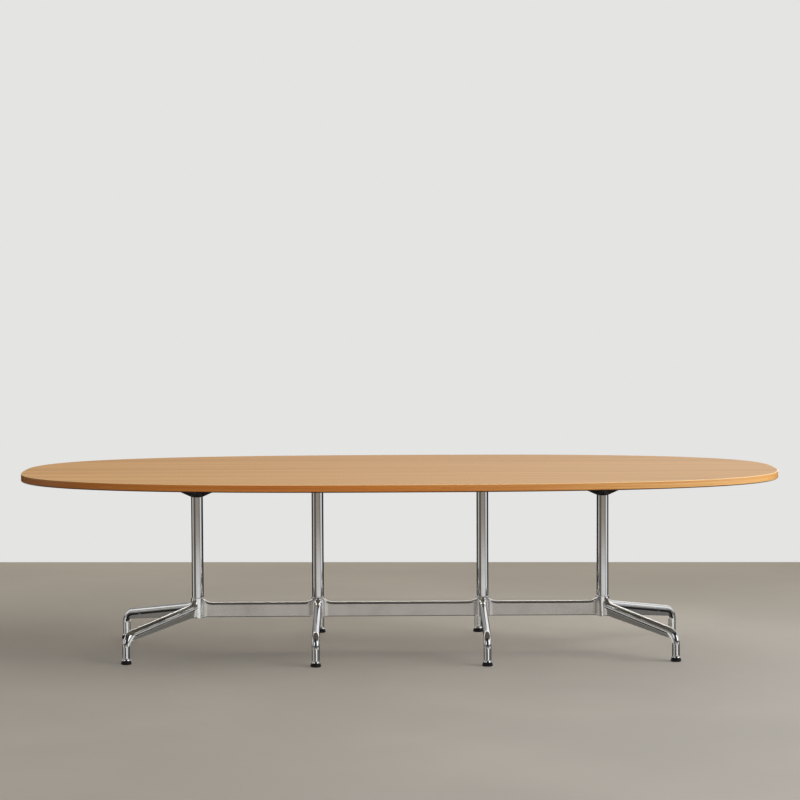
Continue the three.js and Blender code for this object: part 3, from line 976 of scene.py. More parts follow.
@dataclass
class Leg:
    """Cast leg: a round bead over a tapered web, bent down into a post with a flared foot."""

    hub: Hub
    bead: float = 15.0
    bead_slope: float = 9.1
    bead_drop: float = 22.0
    web: float = 6.5
    web_edge: float = 4.5
    web_round: float = 2.5
    web_slope: float = 7.1
    web_rise: float = 3.0
    fillet: float = 3.0
    bend_radius: float = 48.0
    ferrule: float = 17.0
    ferrule_height: float = 9.0
    foot_edge: float = 0.8
    bore: float = 5.3
    bore_top: float = 49.5
    bead_steps: int = 36
    fillet_steps: int = 5
    edge_steps: int = 4
    bend_steps: int = 28
    flare_steps: int = 8
    flank_holds: tuple[float, float] = (0.04, 0.96)
    post_hold: float = 0.5

    def __post_init__(self) -> None:
        """Work out the lines that the leg follows from its reach and its glide."""
        _, pad_high = span("glide_pad_left_middle_front")
        pad_low, _ = span("glide_pad_left_middle_front")
        self.reach = -(pad_low[1] + pad_high[1]) / 2
        self.foot = pad_high[2] + CLEARANCE
        self.slope = math.radians(self.bead_slope)
        self.fall = math.tan(math.radians(self.web_slope))
        self.bend_reach = self.reach - self.bend_radius
        self.bend_level = self.bead_level(self.bend_reach) - self.bend_radius / math.cos(self.slope)

    def bead_level(self, reach: float) -> float:
        """Level of the bead's axis."""
        at_hub = self.hub.top - self.bead_drop - self.bead / math.cos(self.slope)
        return at_hub - (reach - self.hub.radius) * math.tan(self.slope)

    def web_level(self, reach: float) -> float:
        """Level of the web's lower edge."""
        return self.hub.bottom + self.web_rise - (reach - self.hub.radius) * self.fall

    def marks(self) -> list[int]:
        """Finish of each step round a section: the web's flanks are satin."""
        flank = [0] * self.fillet_steps + [1] * (self.edge_steps + 1 + len(self.flank_holds))
        return [0] * self.bead_steps + flank + [1] + flank[::-1]

    def section(self, width: float, crown: float, web: float, edge: float, depth: float) -> np.ndarray:
        """Section of the leg, across and up from the bead's axis.

        Args:
            width: half width of the bead.
            crown: height of the bead's top.
            web: half thickness of the web at the bead.
            edge: half thickness of the web at its lower edge.
            depth: how far the web reaches down.

        Returns:
            Points of the section, anticlockwise from the right of the bead.
        """

        def on_bead(side: np.ndarray | float) -> np.ndarray:
            """Depth of the bead's lower half at a side."""
            return self.bead * np.sqrt(1 - (np.asarray(side) / width) ** 2)

        hold = np.clip((depth - self.bead) / (2 * self.fillet), 0.02, 1)
        hold *= np.clip(1 - (width - self.bead) / 2, 0.02, 1)
        cove = self.fillet * hold
        meet = web + hold * (self.bead * (self.web + cove) / (self.bead + cove) - self.web)
        start = -math.acos(meet / width)
        angles = np.linspace(start, math.pi - start, self.bead_steps + 1)
        rise = np.sin(angles)
        top = np.stack([width * np.cos(angles), rise * np.where(rise > 0, crown, self.bead)], axis=1)
        low_meet, low_web = on_bead(meet), on_bead(web)
        full = math.sqrt((self.bead + cove) ** 2 - (self.web + cove) ** 2)
        end = low_web + 0.05 + hold * max(full - low_web, 0)
        bend = min(low_meet + meet * (meet - web) / low_meet, end)
        share = np.linspace(0, 1, self.fillet_steps + 1)[1:]
        across = meet * (1 - share) ** 2 + web * (1 - (1 - share) ** 2)
        down = low_meet * (1 - share) ** 2 + bend * 2 * share * (1 - share) + end * share**2
        turn = np.linspace(0, math.pi / 2, self.edge_steps + 1)
        tip = edge - self.web_round * (1 - np.cos(turn))
        tip_down = np.maximum(depth - self.web_round * (1 - np.sin(turn)), on_bead(tip))
        hold_across = web + (edge - web) * np.array(self.flank_holds)
        hold_down = end + (tip_down[0] - end) * np.array(self.flank_holds)
        right = np.stack(
            [np.concatenate([across, hold_across, tip]), -np.concatenate([down, hold_down, tip_down])], axis=1
        )
        left = right * np.array([-1, 1])
        return np.concatenate([top, left, right[::-1]])

    def set_out(self, section: np.ndarray, reach: float, level: float, lean: float) -> np.ndarray:
        """Points of a section that stands square to the way the leg runs."""
        across, up = section[:, 0], section[:, 1]
        return np.stack([reach + up * math.sin(lean), across, level + up * math.cos(lean)], axis=1)

    def root_ring(self, distance: float) -> np.ndarray:
        """Section near the hub, where the leg spreads into the wall."""
        hub = self.hub
        reach = hub.radius + distance
        level = self.bead_level(reach)
        side = hub.share(distance, hub.side_length)
        crown = hub.share(distance, hub.crown_length)
        bead_top = level + self.bead / math.cos(self.slope)
        top = bead_top + (hub.top - hub.root_rim - bead_top) * crown
        bottom = self.web_level(reach)
        bottom += (hub.bottom + hub.root_rim - bottom) * crown
        spread = [half + (hub.root_half - half) * side for half in (self.bead, self.web, self.web_edge)]
        section = self.section(
            spread[0], top - level, spread[1] - hub.seam * side, spread[2] - 2 * hub.seam * side, level - bottom
        )
        ring = self.set_out(section, reach, level, 0)
        ring[:, 0] -= hub.wrap(reach, ring[:, 1])
        return ring

    def bend_ring(self, lean: float) -> np.ndarray:
        """Section on the bend, where the web runs out."""
        to_centre = self.web_level(self.bend_reach) - self.bend_level
        depth = self.bend_radius - to_centre / (math.cos(lean) + self.fall * math.sin(lean))
        section = self.section(self.bead, self.bead, self.web, self.web_edge, max(depth, 0))
        reach = self.bend_reach + self.bend_radius * math.sin(lean)
        return self.set_out(section, reach, self.bend_level + self.bend_radius * math.cos(lean), lean)

    def post_rings(self) -> list[np.ndarray]:
        """Sections of the post, its flared foot and the bore for the stem."""
        flare = self.ferrule - self.bead
        stops = [(self.bead, self.bend_level - self.post_hold), (self.bead, self.foot + self.ferrule_height + self.post_hold)]
        stops += [
            (self.bead + flare * along**2, self.foot + self.foot_edge + (self.ferrule_height - self.foot_edge) * (1 - along))
            for along in np.linspace(0, 1, self.flare_steps + 1)
        ]
        for turn in np.linspace(0, math.pi / 2, 4)[1:]:
            inward = self.foot_edge * (1 - math.cos(turn))
            stops.append((self.ferrule - inward, self.foot + self.foot_edge * (1 - math.sin(turn))))
        stops += [
            (self.bore + self.foot_edge, self.foot),
            (self.bore, self.foot + self.foot_edge),
            (self.bore, self.bore_top),
        ]
        plain = self.section(self.bead, self.bead, self.web, self.web_edge, 0)
        return [
            self.set_out(plain * radius / self.bead, self.reach, level, math.pi / 2) for radius, level in stops
        ]

    def build(self, name: str, node: str, place: Matrix, start: float, end: float) -> None:
        """Make one casting.

        Args:
            name: the piece's name.
            node: the CAD node that it stands for.
            place: the hub's axis, turned to the leg's direction.
            start: first angle of its hub sector from its own direction, in degrees.
            end: last angle of that sector.
        """
        rings = [self.root_ring(distance) for distance in self.hub.root_stops()]
        rings += [self.bend_ring(lean) for lean in np.linspace(self.slope, math.pi / 2, self.bend_steps + 1)]
        rings += self.post_rings()
        arm = Shell().loft(np.array(rings), self.marks()).build(name, POLISHED, SATIN, place=place)
        sector = self.hub.sector("sector", start, end, place)
        seat(united(arm, sector), BASE, Slot.CAST, node)


@dataclass
class Stretcher:
    """Cast bar between two hubs: flat flanks, a rounded crown and a sector of each hub."""

    hub: Hub
    half: float = 10.0
    top_drop: float = 20.0
    bottom_rise: float = 3.0
    lower_edge: float = 2.5
    crown_steps: int = 20
    edge_steps: int = 4
    flank_holds: tuple[float, float] = (0.03, 0.97)

    def marks(self) -> list[int]:
        """Finish of each step round a section: the flanks are satin."""
        edge, flank = [0] * self.edge_steps, [1] * (1 + len(self.flank_holds))
        return edge + flank + [0] * self.crown_steps + flank + edge + [0]

    def ring(self, along: float, length: float) -> np.ndarray:
        """Section at a distance from the first hub's axis.

        Args:
            along: distance from the first hub's axis.
            length: distance between the two axes.

        Returns:
            Points of the section.
        """
        hub = self.hub
        near = min(along, length - along)
        side = hub.share(near - hub.radius, hub.side_length)
        crown = hub.share(near - hub.radius, hub.crown_length)
        half = self.half + (hub.root_half - self.half) * side
        top = hub.top - self.top_drop + (self.top_drop - hub.root_rim) * crown
        bottom = hub.bottom + self.bottom_rise + (hub.root_rim - self.bottom_rise) * crown
        turn = np.linspace(0, math.pi / 2, self.edge_steps + 1)
        lower = np.stack(
            [
                half - self.lower_edge * (1 - np.sin(turn)),
                bottom + self.lower_edge * (1 - np.cos(turn)),
            ],
            axis=1,
        )
        arc = np.linspace(0, math.pi, self.crown_steps + 1)
        upper = np.stack([half * np.cos(arc), top - self.half * (1 - np.sin(arc))], axis=1)
        holds = np.stack([lower[-1] + (upper[0] - lower[-1]) * share for share in self.flank_holds])
        right = np.concatenate([lower, holds])
        flat = np.concatenate([right, upper, (right * np.array([-1, 1]))[::-1]])
        back = hub.wrap(near, flat[:, 0])
        x = along + np.where(along < length / 2, -back, back)
        return np.column_stack([x, flat])

    def build(self, name: str, node: str, left: float, right: float) -> None:
        """Make one stretcher.

        Args:
            name: the piece's name.
            node: the CAD node that it stands for.
            left: the first hub's axis.
            right: the second hub's axis.
        """
        length = right - left
        near = self.hub.radius + self.hub.root_stops()
        stops = np.concatenate([near, (length - near)[::-1]])
        rings = np.array([self.ring(along, length) for along in stops])
        bar = Shell().loft(rings, self.marks()).build(name, POLISHED, SATIN, place=upright(left))
        quarter = 45.0
        ends = [
            self.hub.sector("sector", -quarter, quarter, upright(left)),
            self.hub.sector("sector", -quarter, quarter, upright(right, turn=math.pi)),
        ]
        seat(united(bar, *ends), BASE, Slot.CAST, node)


@dataclass
class Column:
    """Plated tube with what holds it to its hub: a coned core, a tie rod and a nut."""

    hub: Hub
    edge: float = 0.6
    spigot_above_foot: float = 30.0
    rod: float = 6.0
    flats: float = 18.0
    nut_chamfer: float = 0.94
    nut_steps: int = 12

    def nut(self, name: str, bottom: float, top: float, place: Matrix) -> bpy.types.Object:
        """Hexagon nut with chamfered corners.

        Args:
            name: the piece's name.
            bottom: its lower level.
            top: its upper level.
            place: where its axis stands.

        Returns:
            The object.
        """
        angles = np.linspace(0, 2 * math.pi, 6 * self.nut_steps, endpoint=False)
        sixth = math.pi / 3
        half = self.flats / 2
        hexagon = half / np.cos(np.mod(angles, sixth) - sixth / 2)
        hole = np.full_like(angles, self.rod + CLEARANCE)
        rise = np.linspace(0, half * 2 / math.sqrt(3) - half * self.nut_chamfer, 4) * math.tan(math.radians(30))
        heights = [*(bottom + rise), *(top - rise[::-1])]
        cones = [half * self.nut_chamfer + lift / math.tan(math.radians(30)) for lift in rise]
        outlines = [np.minimum(hexagon, cone) for cone in (*cones, *cones[::-1])]
        rows = [*zip(outlines, heights), (hole, top), (hole, bottom)]
        rings = [
            np.stack([reach * np.cos(angles), reach * np.sin(angles), np.full_like(angles, level)], axis=1)
            for reach, level in rows
        ]
        return Shell().rings(np.array(rings), wrap=True).build(name, ZINC, place=place)

    def build(self, place: Place) -> None:
        """Make the tube, core, rod and nut of one column."""
        hub, key = self.hub, place.value
        low, high = span(f"column_{key}")
        stand = upright((low[0] + high[0]) / 2)
        bore = hub.column - hub.tube_wall
        tube = turned(
            f"tube_{key}",
            (
                (bore, low[2], 0),
                (hub.column, low[2], self.edge),
                (hub.column, high[2], self.edge),
                (bore, high[2], 0),
            ),
            CHROME,
            stand,
            sides=128,
        )
        seat(tube, BASE, Slot.TUBE, f"column_{key}")
        hole = self.rod + CLEARANCE
        core_top = hub.column_foot + self.spigot_above_foot
        core = turned(
            f"core_{key}",
            (
                (hole, hub.core_bottom, self.edge),
                (hub.cone, hub.core_bottom, self.edge),
                (hub.cone, hub.cone_level(hub.cone), 0),
                (hub.spigot, hub.cone_level(hub.spigot), 0),
                (hub.spigot, core_top, self.edge),
                (hole, core_top, 0),
            ),
            ZINC,
            stand,
        )
        seat(core, BASE, Slot.ZINC, f"hub_core_{key}")
        rod_low, rod_high = span(f"tie_rod_{key}")
        rod = turned(
            f"rod_{key}",
            (
                (0, rod_low[2], 0),
                (self.rod, rod_low[2], self.edge),
                (self.rod, rod_high[2], self.edge),
                (0, rod_high[2], 0),
            ),
            ZINC,
            stand,
            sides=32,
        )
        seat(rod, BASE, Slot.ZINC, f"tie_rod_{key}")
        nut_low, nut_high = span(f"hub_nut_{key}")
        nut = self.nut(f"nut_{key}", nut_low[2], nut_high[2], stand)
        seat(nut, BASE, Slot.ZINC, f"hub_nut_{key}")


@dataclass
class Spider:
    """Black cast bracket: four tapered arms between a column and the top, with its screws."""

    hub: Hub
    arm: float = 14.0
    reach: float = 204.0
    flange: float = 6.0
    web: float = 4.5
    edge: float = 1.2
    collar: float = 1.0
    spigot_depth: float = 25.0
    rod_hole: float = 6.3
    rod_cover: float = 20.0
    tip_steps: int = 16
    head: float = 5.2
    head_height: float = 2.6
    socket: float = 2.2
    socket_depth: float = 1.7

    def flange_strip(self, top: float, place: Matrix) -> bpy.types.Object:
        """Strip with round tips under the top, its lower edge eased."""
        rings = []
        for turn in np.linspace(0, math.pi / 2, 4):
            inset = self.edge * (1 - math.sin(turn))
            rings.append((inset, top - self.flange + self.edge * (1 - math.cos(turn))))
        rings.append((0.0, top))
        tip = np.linspace(-math.pi / 2, math.pi / 2, self.tip_steps + 1)
        layers = []
        for inset, level in rings:
            half = self.arm - inset
            right = np.stack([self.reach + half * np.cos(tip), half * np.sin(tip)], axis=1)
            plan = np.concatenate([right, -right])
            layers.append(np.column_stack([plan, np.full(len(plan), level)]))
        return Shell().loft(np.array(layers)).build("strip", PAINT, place=place)

    def web_plate(self, bottom: float, top: float, place: Matrix) -> bpy.types.Object:
        """Upright web that tapers from the boss to the tips, its lower edges eased."""
        end = self.reach - self.arm
        low = top - self.flange
        layers = []
        for side, lift in ((-1.0, 1.0), (-0.78, 0.2), (-0.6, 0.0), (0.6, 0.0), (0.78, 0.2), (1.0, 1.0)):
            rise = lift * self.edge
            outline = rounded(
                (
                    (-self.hub.column, bottom + rise, 6),
                    (self.hub.column, bottom + rise, 6),
                    (end, low + rise, 2),
                    (end, top - self.flange / 3, 0),
                    (-end, top - self.flange / 3, 0),
                    (-end, low + rise, 2),
                )
            )
            across = np.full(len(outline), side * self.web)
            layers.append(np.stack([outline[:, 0], across, outline[:, 1]], axis=1))
        return Shell().loft(np.array(layers)).build("web", PAINT, place=place)

    def build(self, place: Place) -> tuple[float, float]:
        """Make one bracket.

        Args:
            place: the column that it stands on.

        Returns:
            The column's axis and the level of the screw heads' seats.
        """
        low, high = span(f"spider_{place.value}")
        x, top = (low[0] + high[0]) / 2, high[2]
        bottom = span(f"column_{place.value}")[1][2]
        foot = bottom - self.spigot_depth
        collar = self.hub.column + self.collar
        bore_top = top - self.rod_cover + CLEARANCE
        boss = turned(
            f"bracket_{place.value}",
            (
                (self.rod_hole, foot, 0),
                (self.hub.spigot, foot, self.edge),
                (self.hub.spigot, bottom, 0),
                (collar, bottom, self.edge),
                (collar, top, 0),
                (0, top, 0),
                (0, bore_top, 0),
                (self.rod_hole, bore_top, 0),
            ),
            PAINT,
            upright(x),
        )
        parts = []
        for turn in (0.0, math.pi / 2):
            stand = upright(x, turn=turn)
            parts += [self.flange_strip(top, stand), self.web_plate(bottom, top, stand)]
        seat(united(boss, *parts), BASE, Slot.SPIDER, f"spider_{place.value}")
        return x, top - self.flange

    def screw_shape(self) -> NodeShape:
        """Tree of tapered screw heads with hexagon sockets, one at each point.

        Returns:
            The tree, with the sizes of the head and its socket.
        """
        sizes = ("Head Radius", "Head Height", "Socket Radius", "Socket Depth")
        shape = NodeShape("screw_heads", sizes)
        graph = shape.graph
        radius, height, socket, depth = (shape.given.out(size) for size in sizes)
        head = graph.node(
            "GeometryNodeMeshCone",
            {"fill_type": "NGON"},
            {"Vertices": 32, "Radius Top": radius * 0.74, "Radius Bottom": radius, "Depth": height},
        )
        key = graph.node(
            "GeometryNodeMeshCylinder",
            {"fill_type": "NGON"},
            {"Vertices": 6, "Radius": socket, "Depth": depth * 2.0},
        )
        key = graph.node("GeometryNodeTransform", {}, {"Geometry": key, "Translation": graph.vector(0.0, 0.0, height)})
        cut = graph.node("GeometryNodeMeshBoolean", {"operation": "DIFFERENCE"}, {"Mesh 1": head, "Mesh 2": key})
        placed = {"Points": shape.given, "Instance": cut, "Rotation": (math.pi, 0.0, 0.0)}
        shape.close(graph.node("GeometryNodeInstanceOnPoints", {}, placed))
        return shape

    def drive_screws(self, seats: Sequence[tuple[float, float]]) -> None:
        """Make the screw heads under the arm tips of every bracket.

        Args:
            seats: each column's axis and the level of its screw seats.
        """
        tips = ((1, 0), (-1, 0), (0, 1), (0, -1))
        points = [
            ((x + across * self.reach) * MM, along * self.reach * MM, level * MM)
            for x, level in seats
            for across, along in tips
        ]
        seed = bpy.data.meshes.new("screw_heads")
        seed.from_pydata(points, [], [])
        piece = self.screw_shape().build(
            "bracket_screws",
            seed,
            ZINC,
            Head_Radius=self.head * MM,
            Head_Height=self.head_height * MM,
            Socket_Radius=self.socket * MM,
            Socket_Depth=self.socket_depth * MM,
        )
        seat(piece, BASE, Slot.ZINC)


@dataclass
class Glide:
    """Levelling glide: a two-tier moulded pad on a screw stem."""

    radius: float = 21.0
    collar: float = 19.0
    collar_height: float = 6.0
    floor: float = 5.0
    edge: float = 2.2
    socket: float = 6.3
    stem: float = 5.0
    stem_foot: float = 6.0
    stem_foot_height: float = 9.0
    pitch: float = 1.5
    thread_depth: float = 0.8
    thread_rows: int = 8
    stem_sides: int = 36

    def pad(self, key: str, place: Matrix, height: float) -> None:
        """Make one pad.

        Args:
            key: the leg's place and side.
            place: where its axis stands.
            height: the pad's height.
        """
        shoulder = height - self.collar_height
        piece = turned(
            f"pad_{key}",
            (
                (0, 0, 0),
                (self.radius, 0, self.edge),
                (self.radius, shoulder, self.edge / 2),
                (self.collar, shoulder, self.edge / 4),
                (self.collar, height, self.edge),
                (self.socket, height, self.edge / 4),
                (self.socket, self.floor, 0),
                (0, self.floor, 0),
            ),
            MOULDED,
            place,
            sides=96,
        )
        seat(piece, f"pad_{key}", Slot.GLIDE, f"glide_pad_{key}")

    def screw(self, key: str, place: Matrix, top: float) -> None:
        """Make one stem with its right-hand thread.

        Args:
            key: the leg's place and side.
            place: where its axis stands.
            top: level of the stem's end.
        """
        foot = self.floor + CLEARANCE
        thread_foot = foot + self.stem_foot_height
        angles = np.linspace(0, 2 * math.pi, self.stem_sides, endpoint=False)
        count = math.ceil((top - thread_foot) / self.pitch * self.thread_rows)
        levels = np.linspace(thread_foot, top, count + 1)
        phase = np.mod(levels[:, None] / self.pitch - angles / (2 * math.pi), 1)
        groove = np.clip(np.abs(2 * phase - 1) * 1.25 - 0.125, 0, 1)
        lead = np.clip((top - levels) / self.pitch, 0, 1)[:, None]
        thread = self.stem - self.thread_depth * (1 - lead * (1 - groove))
        plain = np.ones((1, self.stem_sides))
        radii = np.concatenate([plain * self.stem_foot, plain * self.stem_foot, thread])
        heights = np.concatenate([[foot, thread_foot - CLEARANCE], levels])
        rings = np.stack(
            [radii * np.cos(angles), radii * np.sin(angles), np.repeat(heights[:, None], self.stem_sides, axis=1)],
            axis=-1,
        )
        piece = Shell().loft(rings).build(f"stem_{key}", ZINC, place=place)
        seat(piece, f"stem_{key}", Slot.ZINC, f"glide_stem_{key}")

    def build(self, key: str) -> None:
        """Make the glide of one leg."""
        low, high = span(f"glide_pad_{key}")
        centre = (low + high) / 2
        place = upright(centre[0], centre[1])
        self.pad(key, place, high[2])
        self.screw(key, place, span(f"glide_stem_{key}")[1][2])


@dataclass
class Underframe:
    """Columns, castings, brackets and glides under the top."""

    def axis(self, place: Place) -> float:
        """Where a column stands along the table."""
        low, high = span(f"column_{place.value}")
        return (low[0] + high[0]) / 2

    def build_legs(self, hub: Hub) -> None:
        """Make the eight legs, each with its share of its hub."""
        leg, glide = Leg(hub), Glide()
        quarter = 45.0
        for place in Place:
            x = self.axis(place)
            for side in Side:
                key = f"{place.value}_{side.value}"
                low, high = span(f"glide_pad_{key}")
                centre = (low + high) / 2
                turn = math.atan2(centre[1], centre[0] - x)
                start, end = -quarter, quarter
                if place in (Place.LEFT_END, Place.RIGHT_END):
                    outward = 0.0 if x > 0 else math.pi
                    lean = math.degrees(math.remainder(turn - outward, 2 * math.pi))
                    narrow, wide = abs(lean), 180 - quarter - abs(lean)
                    start, end = (-narrow, wide) if lean > 0 else (-wide, narrow)
                leg.build(f"casting_{key}", f"leg_{key}", upright(x, turn=turn), start, end)
                glide.build(key)

    def build(self) -> None:
        """Make the whole underframe."""
        hub = Hub()
        column, spider, stretcher = Column(hub), Spider(hub), Stretcher(hub)
        seats = []
        for place in Place:
            column.build(place)
            seats.append(spider.build(place))
        spider.drive_screws(seats)
        places = list(Place)
        for name, left, right in zip(("left", "middle", "right"), places, places[1:]):
            stretcher.build(f"bar_{name}", f"stretcher_{name}", self.axis(left), self.axis(right))
        self.build_legs(hub)


@dataclass(frozen=True)
class Panel:
    """A soft-edged part of the room, light or dark, that bright metal shows.

    Bearings are degrees from the camera's side, to the right, and heights are sines from the horizon.
    """

    sides: tuple[float, float]
    heights: tuple[float, float]
    shade: Colour
    paired: bool = False
    side_ease: float = 0.035
    height_ease: float = 0.012

    def mask(self, bearing: Value, height: Value) -> Value:
        """Where the panel shows.

        Args:
            bearing: bearing in radians.
            height: sine of the height.

        Returns:
            1 inside the panel and 0 away from it.
        """
        across = bearing.math("ABSOLUTE") if self.paired else bearing
        first, last = (math.radians(side) for side in self.sides)
        inside = across.ramp(first - self.side_ease, first + self.side_ease)
        inside = inside * (1.0 - across.ramp(last - self.side_ease, last + self.side_ease))
        low, high = self.heights
        above = height.ramp(low - self.height_ease, low + self.height_ease)
        return inside * above * (1.0 - height.ramp(high - self.height_ease, high + self.height_ease))


@dataclass
class Studio:
    """Pale floor, soft light and the photograph's camera, in metres."""

    floor_half_width: float = 3.4
    floor_front: float = -3.2
    floor_back: tuple[float, float] = (2.936, 2.657)
    # painted light: the floor's front is darker at the left and lighter at the right
    floor_shaded_left: Colour = tone(150, 143, 132)
    floor_lit_right: Colour = tone(188, 182, 174)
    floor_rear: Colour = tone(160, 151, 137)
    floor_glow: float = 0.15
    floor_bounce: float = 0.4
    bounce: float = 2.3
    bounce_size: tuple[float, float] = (3.2, 0.42)
    bounce_place: float = 0.52
    bounce_spread: float = 40.0
    backdrop: Colour = tone(228, 228, 227)
    ambient: float = 0.1
    sky: float = 0.45
    key: float = 8.0
    key_place: tuple[float, float] = (68.0, 24.0)
    fill: float = 0.5
    fill_place: tuple[float, float] = (-170.0, 55.0)
    near_ground: Colour = tone(236, 233, 228)
    far_ground: Colour = tone(158, 148, 135)
    dark_room: Colour = tone(48, 47, 46)
    rear_left: Colour = tone(146, 146, 146)
    rear_right: Colour = tone(248, 248, 248)
    focal_pixels: float = 2471.7
    picture_pixels: float = 800.0
    eye: tuple[float, float, float] = (-0.0967, -10.0, 1.6195)
    yaw: float = 0.00987
    pitch: float = 0.0604
    roll: float = -0.0041
    panels: tuple[Panel, ...] = (
        Panel((-98, -62), (-0.52, 0.0), tone(128, 126, 122)),
        Panel((54, 98), (-0.52, 0.0), tone(118, 117, 115)),
        Panel((104, 185), (-0.178, 0.0), tone(20, 20, 20), paired=True),
        Panel((97, 116), (-0.4, -0.15), tone(112, 110, 105), paired=True),
        Panel((97, 116), (-0.52, -0.42), tone(225, 224, 222), paired=True),
        Panel((97, 128), (0.0, 0.55), tone(244, 243, 241), paired=True),
        Panel((-98, -72), (-0.15, 0.0), tone(206, 203, 196), height_ease=0.004),
        Panel((62, 94), (-0.15, 0.0), tone(246, 246, 246), height_ease=0.004),
        Panel((-68, -28), (-0.148, 0.0), tone(108, 97, 85), height_ease=0.004),
        Panel((32, 54), (-0.115, 0.0), tone(138, 133, 126)),
        Panel((-72, -42), (-0.19, -0.151), tone(172, 169, 164), height_ease=0.003),
        Panel((-42, 14), (-0.18, -0.154), tone(52, 50, 48), height_ease=0.003),
        Panel((-42, -9), (-0.155, -0.1445), tone(60, 58, 56), height_ease=0.002),
        Panel((16, 46), (-0.18, -0.151), tone(254, 254, 254), height_ease=0.003),
        Panel((48, 97), (-0.155, -0.1445), tone(92, 91, 89), height_ease=0.002),
        Panel((46, 97), (-0.18, -0.151), tone(92, 91, 89), height_ease=0.003),
        Panel((-185, 185), (-1.1, -0.52), tone(40, 39, 38)),
        Panel((-40, 40), (-1.1, -0.26), tone(34, 33, 32)),
        Panel((-60, 60), (0.0, 0.1), tone(118, 117, 115)),
        Panel((-100, -62), (0.0, 0.75), tone(128, 127, 125)),
        Panel((44, 82), (0.2, 0.7), (1.6, 1.6, 1.6, 1.0)),
        Panel((-58, -30), (0.24, 0.62), (0.9, 0.9, 0.9, 1.0)),
    )

    def lay_floor(self) -> None:
        """Flat floor with fine cloudy wear, which keeps the shadow; bright metal sees the room's ground instead."""
        x, front, back = self.floor_half_width, self.floor_front, self.floor_back
        mesh = bpy.data.meshes.new("floor")
        mesh.from_pydata([(-x, front, 0), (x, front, 0), (x, back[1], 0), (-x, back[0], 0)], [], [(0, 1, 2, 3)])
        material = bpy.data.materials.new("floor")
        material.use_nodes = True
        graph = Graph(material.node_tree)
        across, along, _ = graph.place()
        clouds = graph.noise(graph.vector(across * 0.9, along * 0.9), detail=4.0).ramp(0.35, 0.65)
        sides = across.ramp(-x, x)
        depth = along.ramp(-0.4, 2.4)
        lit, glow, dull = (
            graph.mix(
                clouds,
                self.floor_tone(graph, sides, depth, share * 0.93),
                self.floor_tone(graph, sides, depth, share),
            )
            for share in (1 - self.floor_glow, self.floor_glow, self.floor_bounce)
        )
        path = graph.node("ShaderNodeLightPath", output="Is Camera Ray")
        shader = graph.node(
            "ShaderNodeBsdfPrincipled",
            {},
            {
                "Base Color": graph.mix(path, dull, lit),
                "Roughness": 0.8,
                "Specular IOR Level": 0.2,
                "Emission Color": graph.mix(path, (0.0, 0.0, 0.0, 1.0), glow),
                "Emission Strength": 1.0,
            },
        )
        clear = graph.node("ShaderNodeBsdfTransparent")
        shader = graph.node("ShaderNodeMixShader", {}, {0: path.out("Is Glossy Ray"), 1: shader, 2: clear})
        graph.node("ShaderNodeOutputMaterial", {}, {"Surface": shader})
        mesh.materials.append(material)
        link("floor", mesh)

    def floor_tone(self, graph: Graph, sides: Value, depth: Value, share: float) -> Value:
        """Share of the floor's colour: painted light runs it from a shaded left side to a lit right side in front, and
        it is even at the rear.
        """
        front = graph.mix(sides, self.dim(self.floor_shaded_left, share), self.dim(self.floor_lit_right, share))
        return graph.mix(depth, front, self.dim(self.floor_rear, share))

    @staticmethod
    def dim(colour: Colour, share: float) -> Colour:
        """Share of a colour."""
        return colour[0] * share, colour[1] * share, colour[2] * share, 1.0

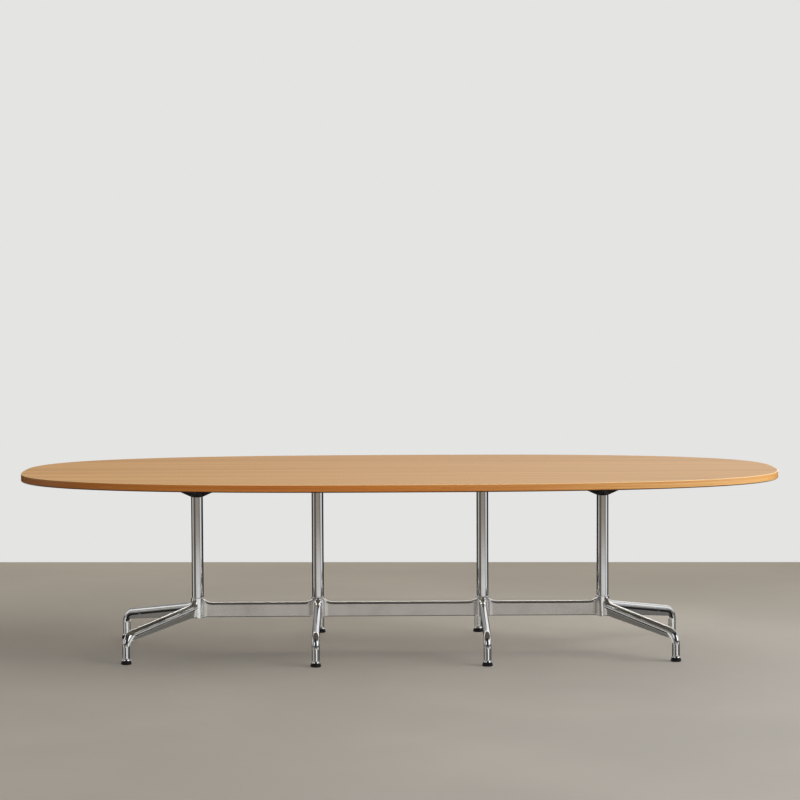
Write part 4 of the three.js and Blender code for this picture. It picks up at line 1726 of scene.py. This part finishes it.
    def light_world(self) -> None:
        """Soft light from the right for plain surfaces, a room of panels for bright metal, a plain backdrop."""
        world = bpy.data.worlds.new("studio")
        world.use_nodes = True
        bpy.context.scene.world = world
        graph = Graph(world.node_tree)
        x, y, z = graph.place("Generated")
        bearing = x.math("ARCTAN2", y * -1.0)
        light = z.math("MAXIMUM", 0.0) * self.sky + self.ambient
        for (side, rise), level, spread in ((self.key_place, self.key, 12.0), (self.fill_place, self.fill, 4.0)):
            turn, lift = math.radians(side), math.radians(rise)
            aim = (math.sin(turn) * math.cos(lift), -math.cos(turn) * math.cos(lift), math.sin(lift))
            facing = (x * aim[0] + y * aim[1] + z * aim[2]).math("MAXIMUM", 0.0)
            light = light + facing**spread * level
        ground = graph.mix(z.ramp(-0.135, -0.105), self.near_ground, self.far_ground)
        rear = graph.mix(x.ramp(-0.2, 0.2), self.rear_left, self.rear_right)
        room = graph.mix(bearing.math("ABSOLUTE").ramp(2.3, 2.5), self.dark_room, rear)
        studio = graph.mix(z.ramp(-0.012, 0.012), ground, room)
        for panel in self.panels:
            studio = graph.mix(panel.mask(bearing, z), studio, panel.shade)
        path = graph.node("ShaderNodeLightPath", output="Is Camera Ray")
        colour = graph.mix(path.out("Is Glossy Ray"), graph.vector(light, light, light), studio)
        colour = graph.mix(path, colour, self.backdrop)
        background = graph.node("ShaderNodeBackground", {}, {"Color": colour, "Strength": 1.0})
        graph.node("ShaderNodeOutputWorld", {}, {"Surface": background})

    def lay_bounce(self) -> None:
        """Low card behind the table that throws light up on to its underside, seen by nothing."""
        length, width = self.bounce_size
        lamp = bpy.data.lights.new("bounce", "AREA")
        lamp.shape = "RECTANGLE"
        lamp.size, lamp.size_y = length, width
        lamp.spread = math.radians(self.bounce_spread)
        lamp.energy = self.bounce * math.pi * length * width
        card = bpy.data.objects.new("bounce", lamp)
        card.location = (0.0, self.bounce_place, 0.02)
        card.rotation_euler = (math.pi, 0.0, 0.0)
        card.visible_camera = False
        card.visible_glossy = False
        bpy.context.scene.collection.objects.link(card)

    def set_camera(self) -> None:
        """Stand the camera where the photograph was taken."""
        camera = bpy.data.cameras.new("camera")
        camera.sensor_width = 36.0
        camera.lens = camera.sensor_width * self.focal_pixels / self.picture_pixels
        stand = bpy.data.objects.new("camera", camera)
        level = math.cos(self.pitch)
        aim = Vector((math.sin(self.yaw) * level, math.cos(self.yaw) * level, -math.sin(self.pitch)))
        stand.location = self.eye
        turn = aim.to_track_quat("-Z", "Y") @ Quaternion((0.0, 0.0, 1.0), self.roll)
        stand.rotation_euler = turn.to_euler()
        bpy.context.scene.collection.objects.link(stand)
        bpy.context.scene.camera = stand

    def build(self) -> None:
        """Set up the studio."""
        bpy.context.scene.view_settings.view_transform = "Standard"
        self.set_camera()
        self.lay_floor()
        self.light_world()
        self.lay_bounce()


def main() -> None:
    """Build the studio and the table."""
    logging.basicConfig(level=logging.INFO, format="%(message)s")
    Studio().build()
    TableTop().build()
    Underframe().build()


if __name__ == "__main__":
    main()
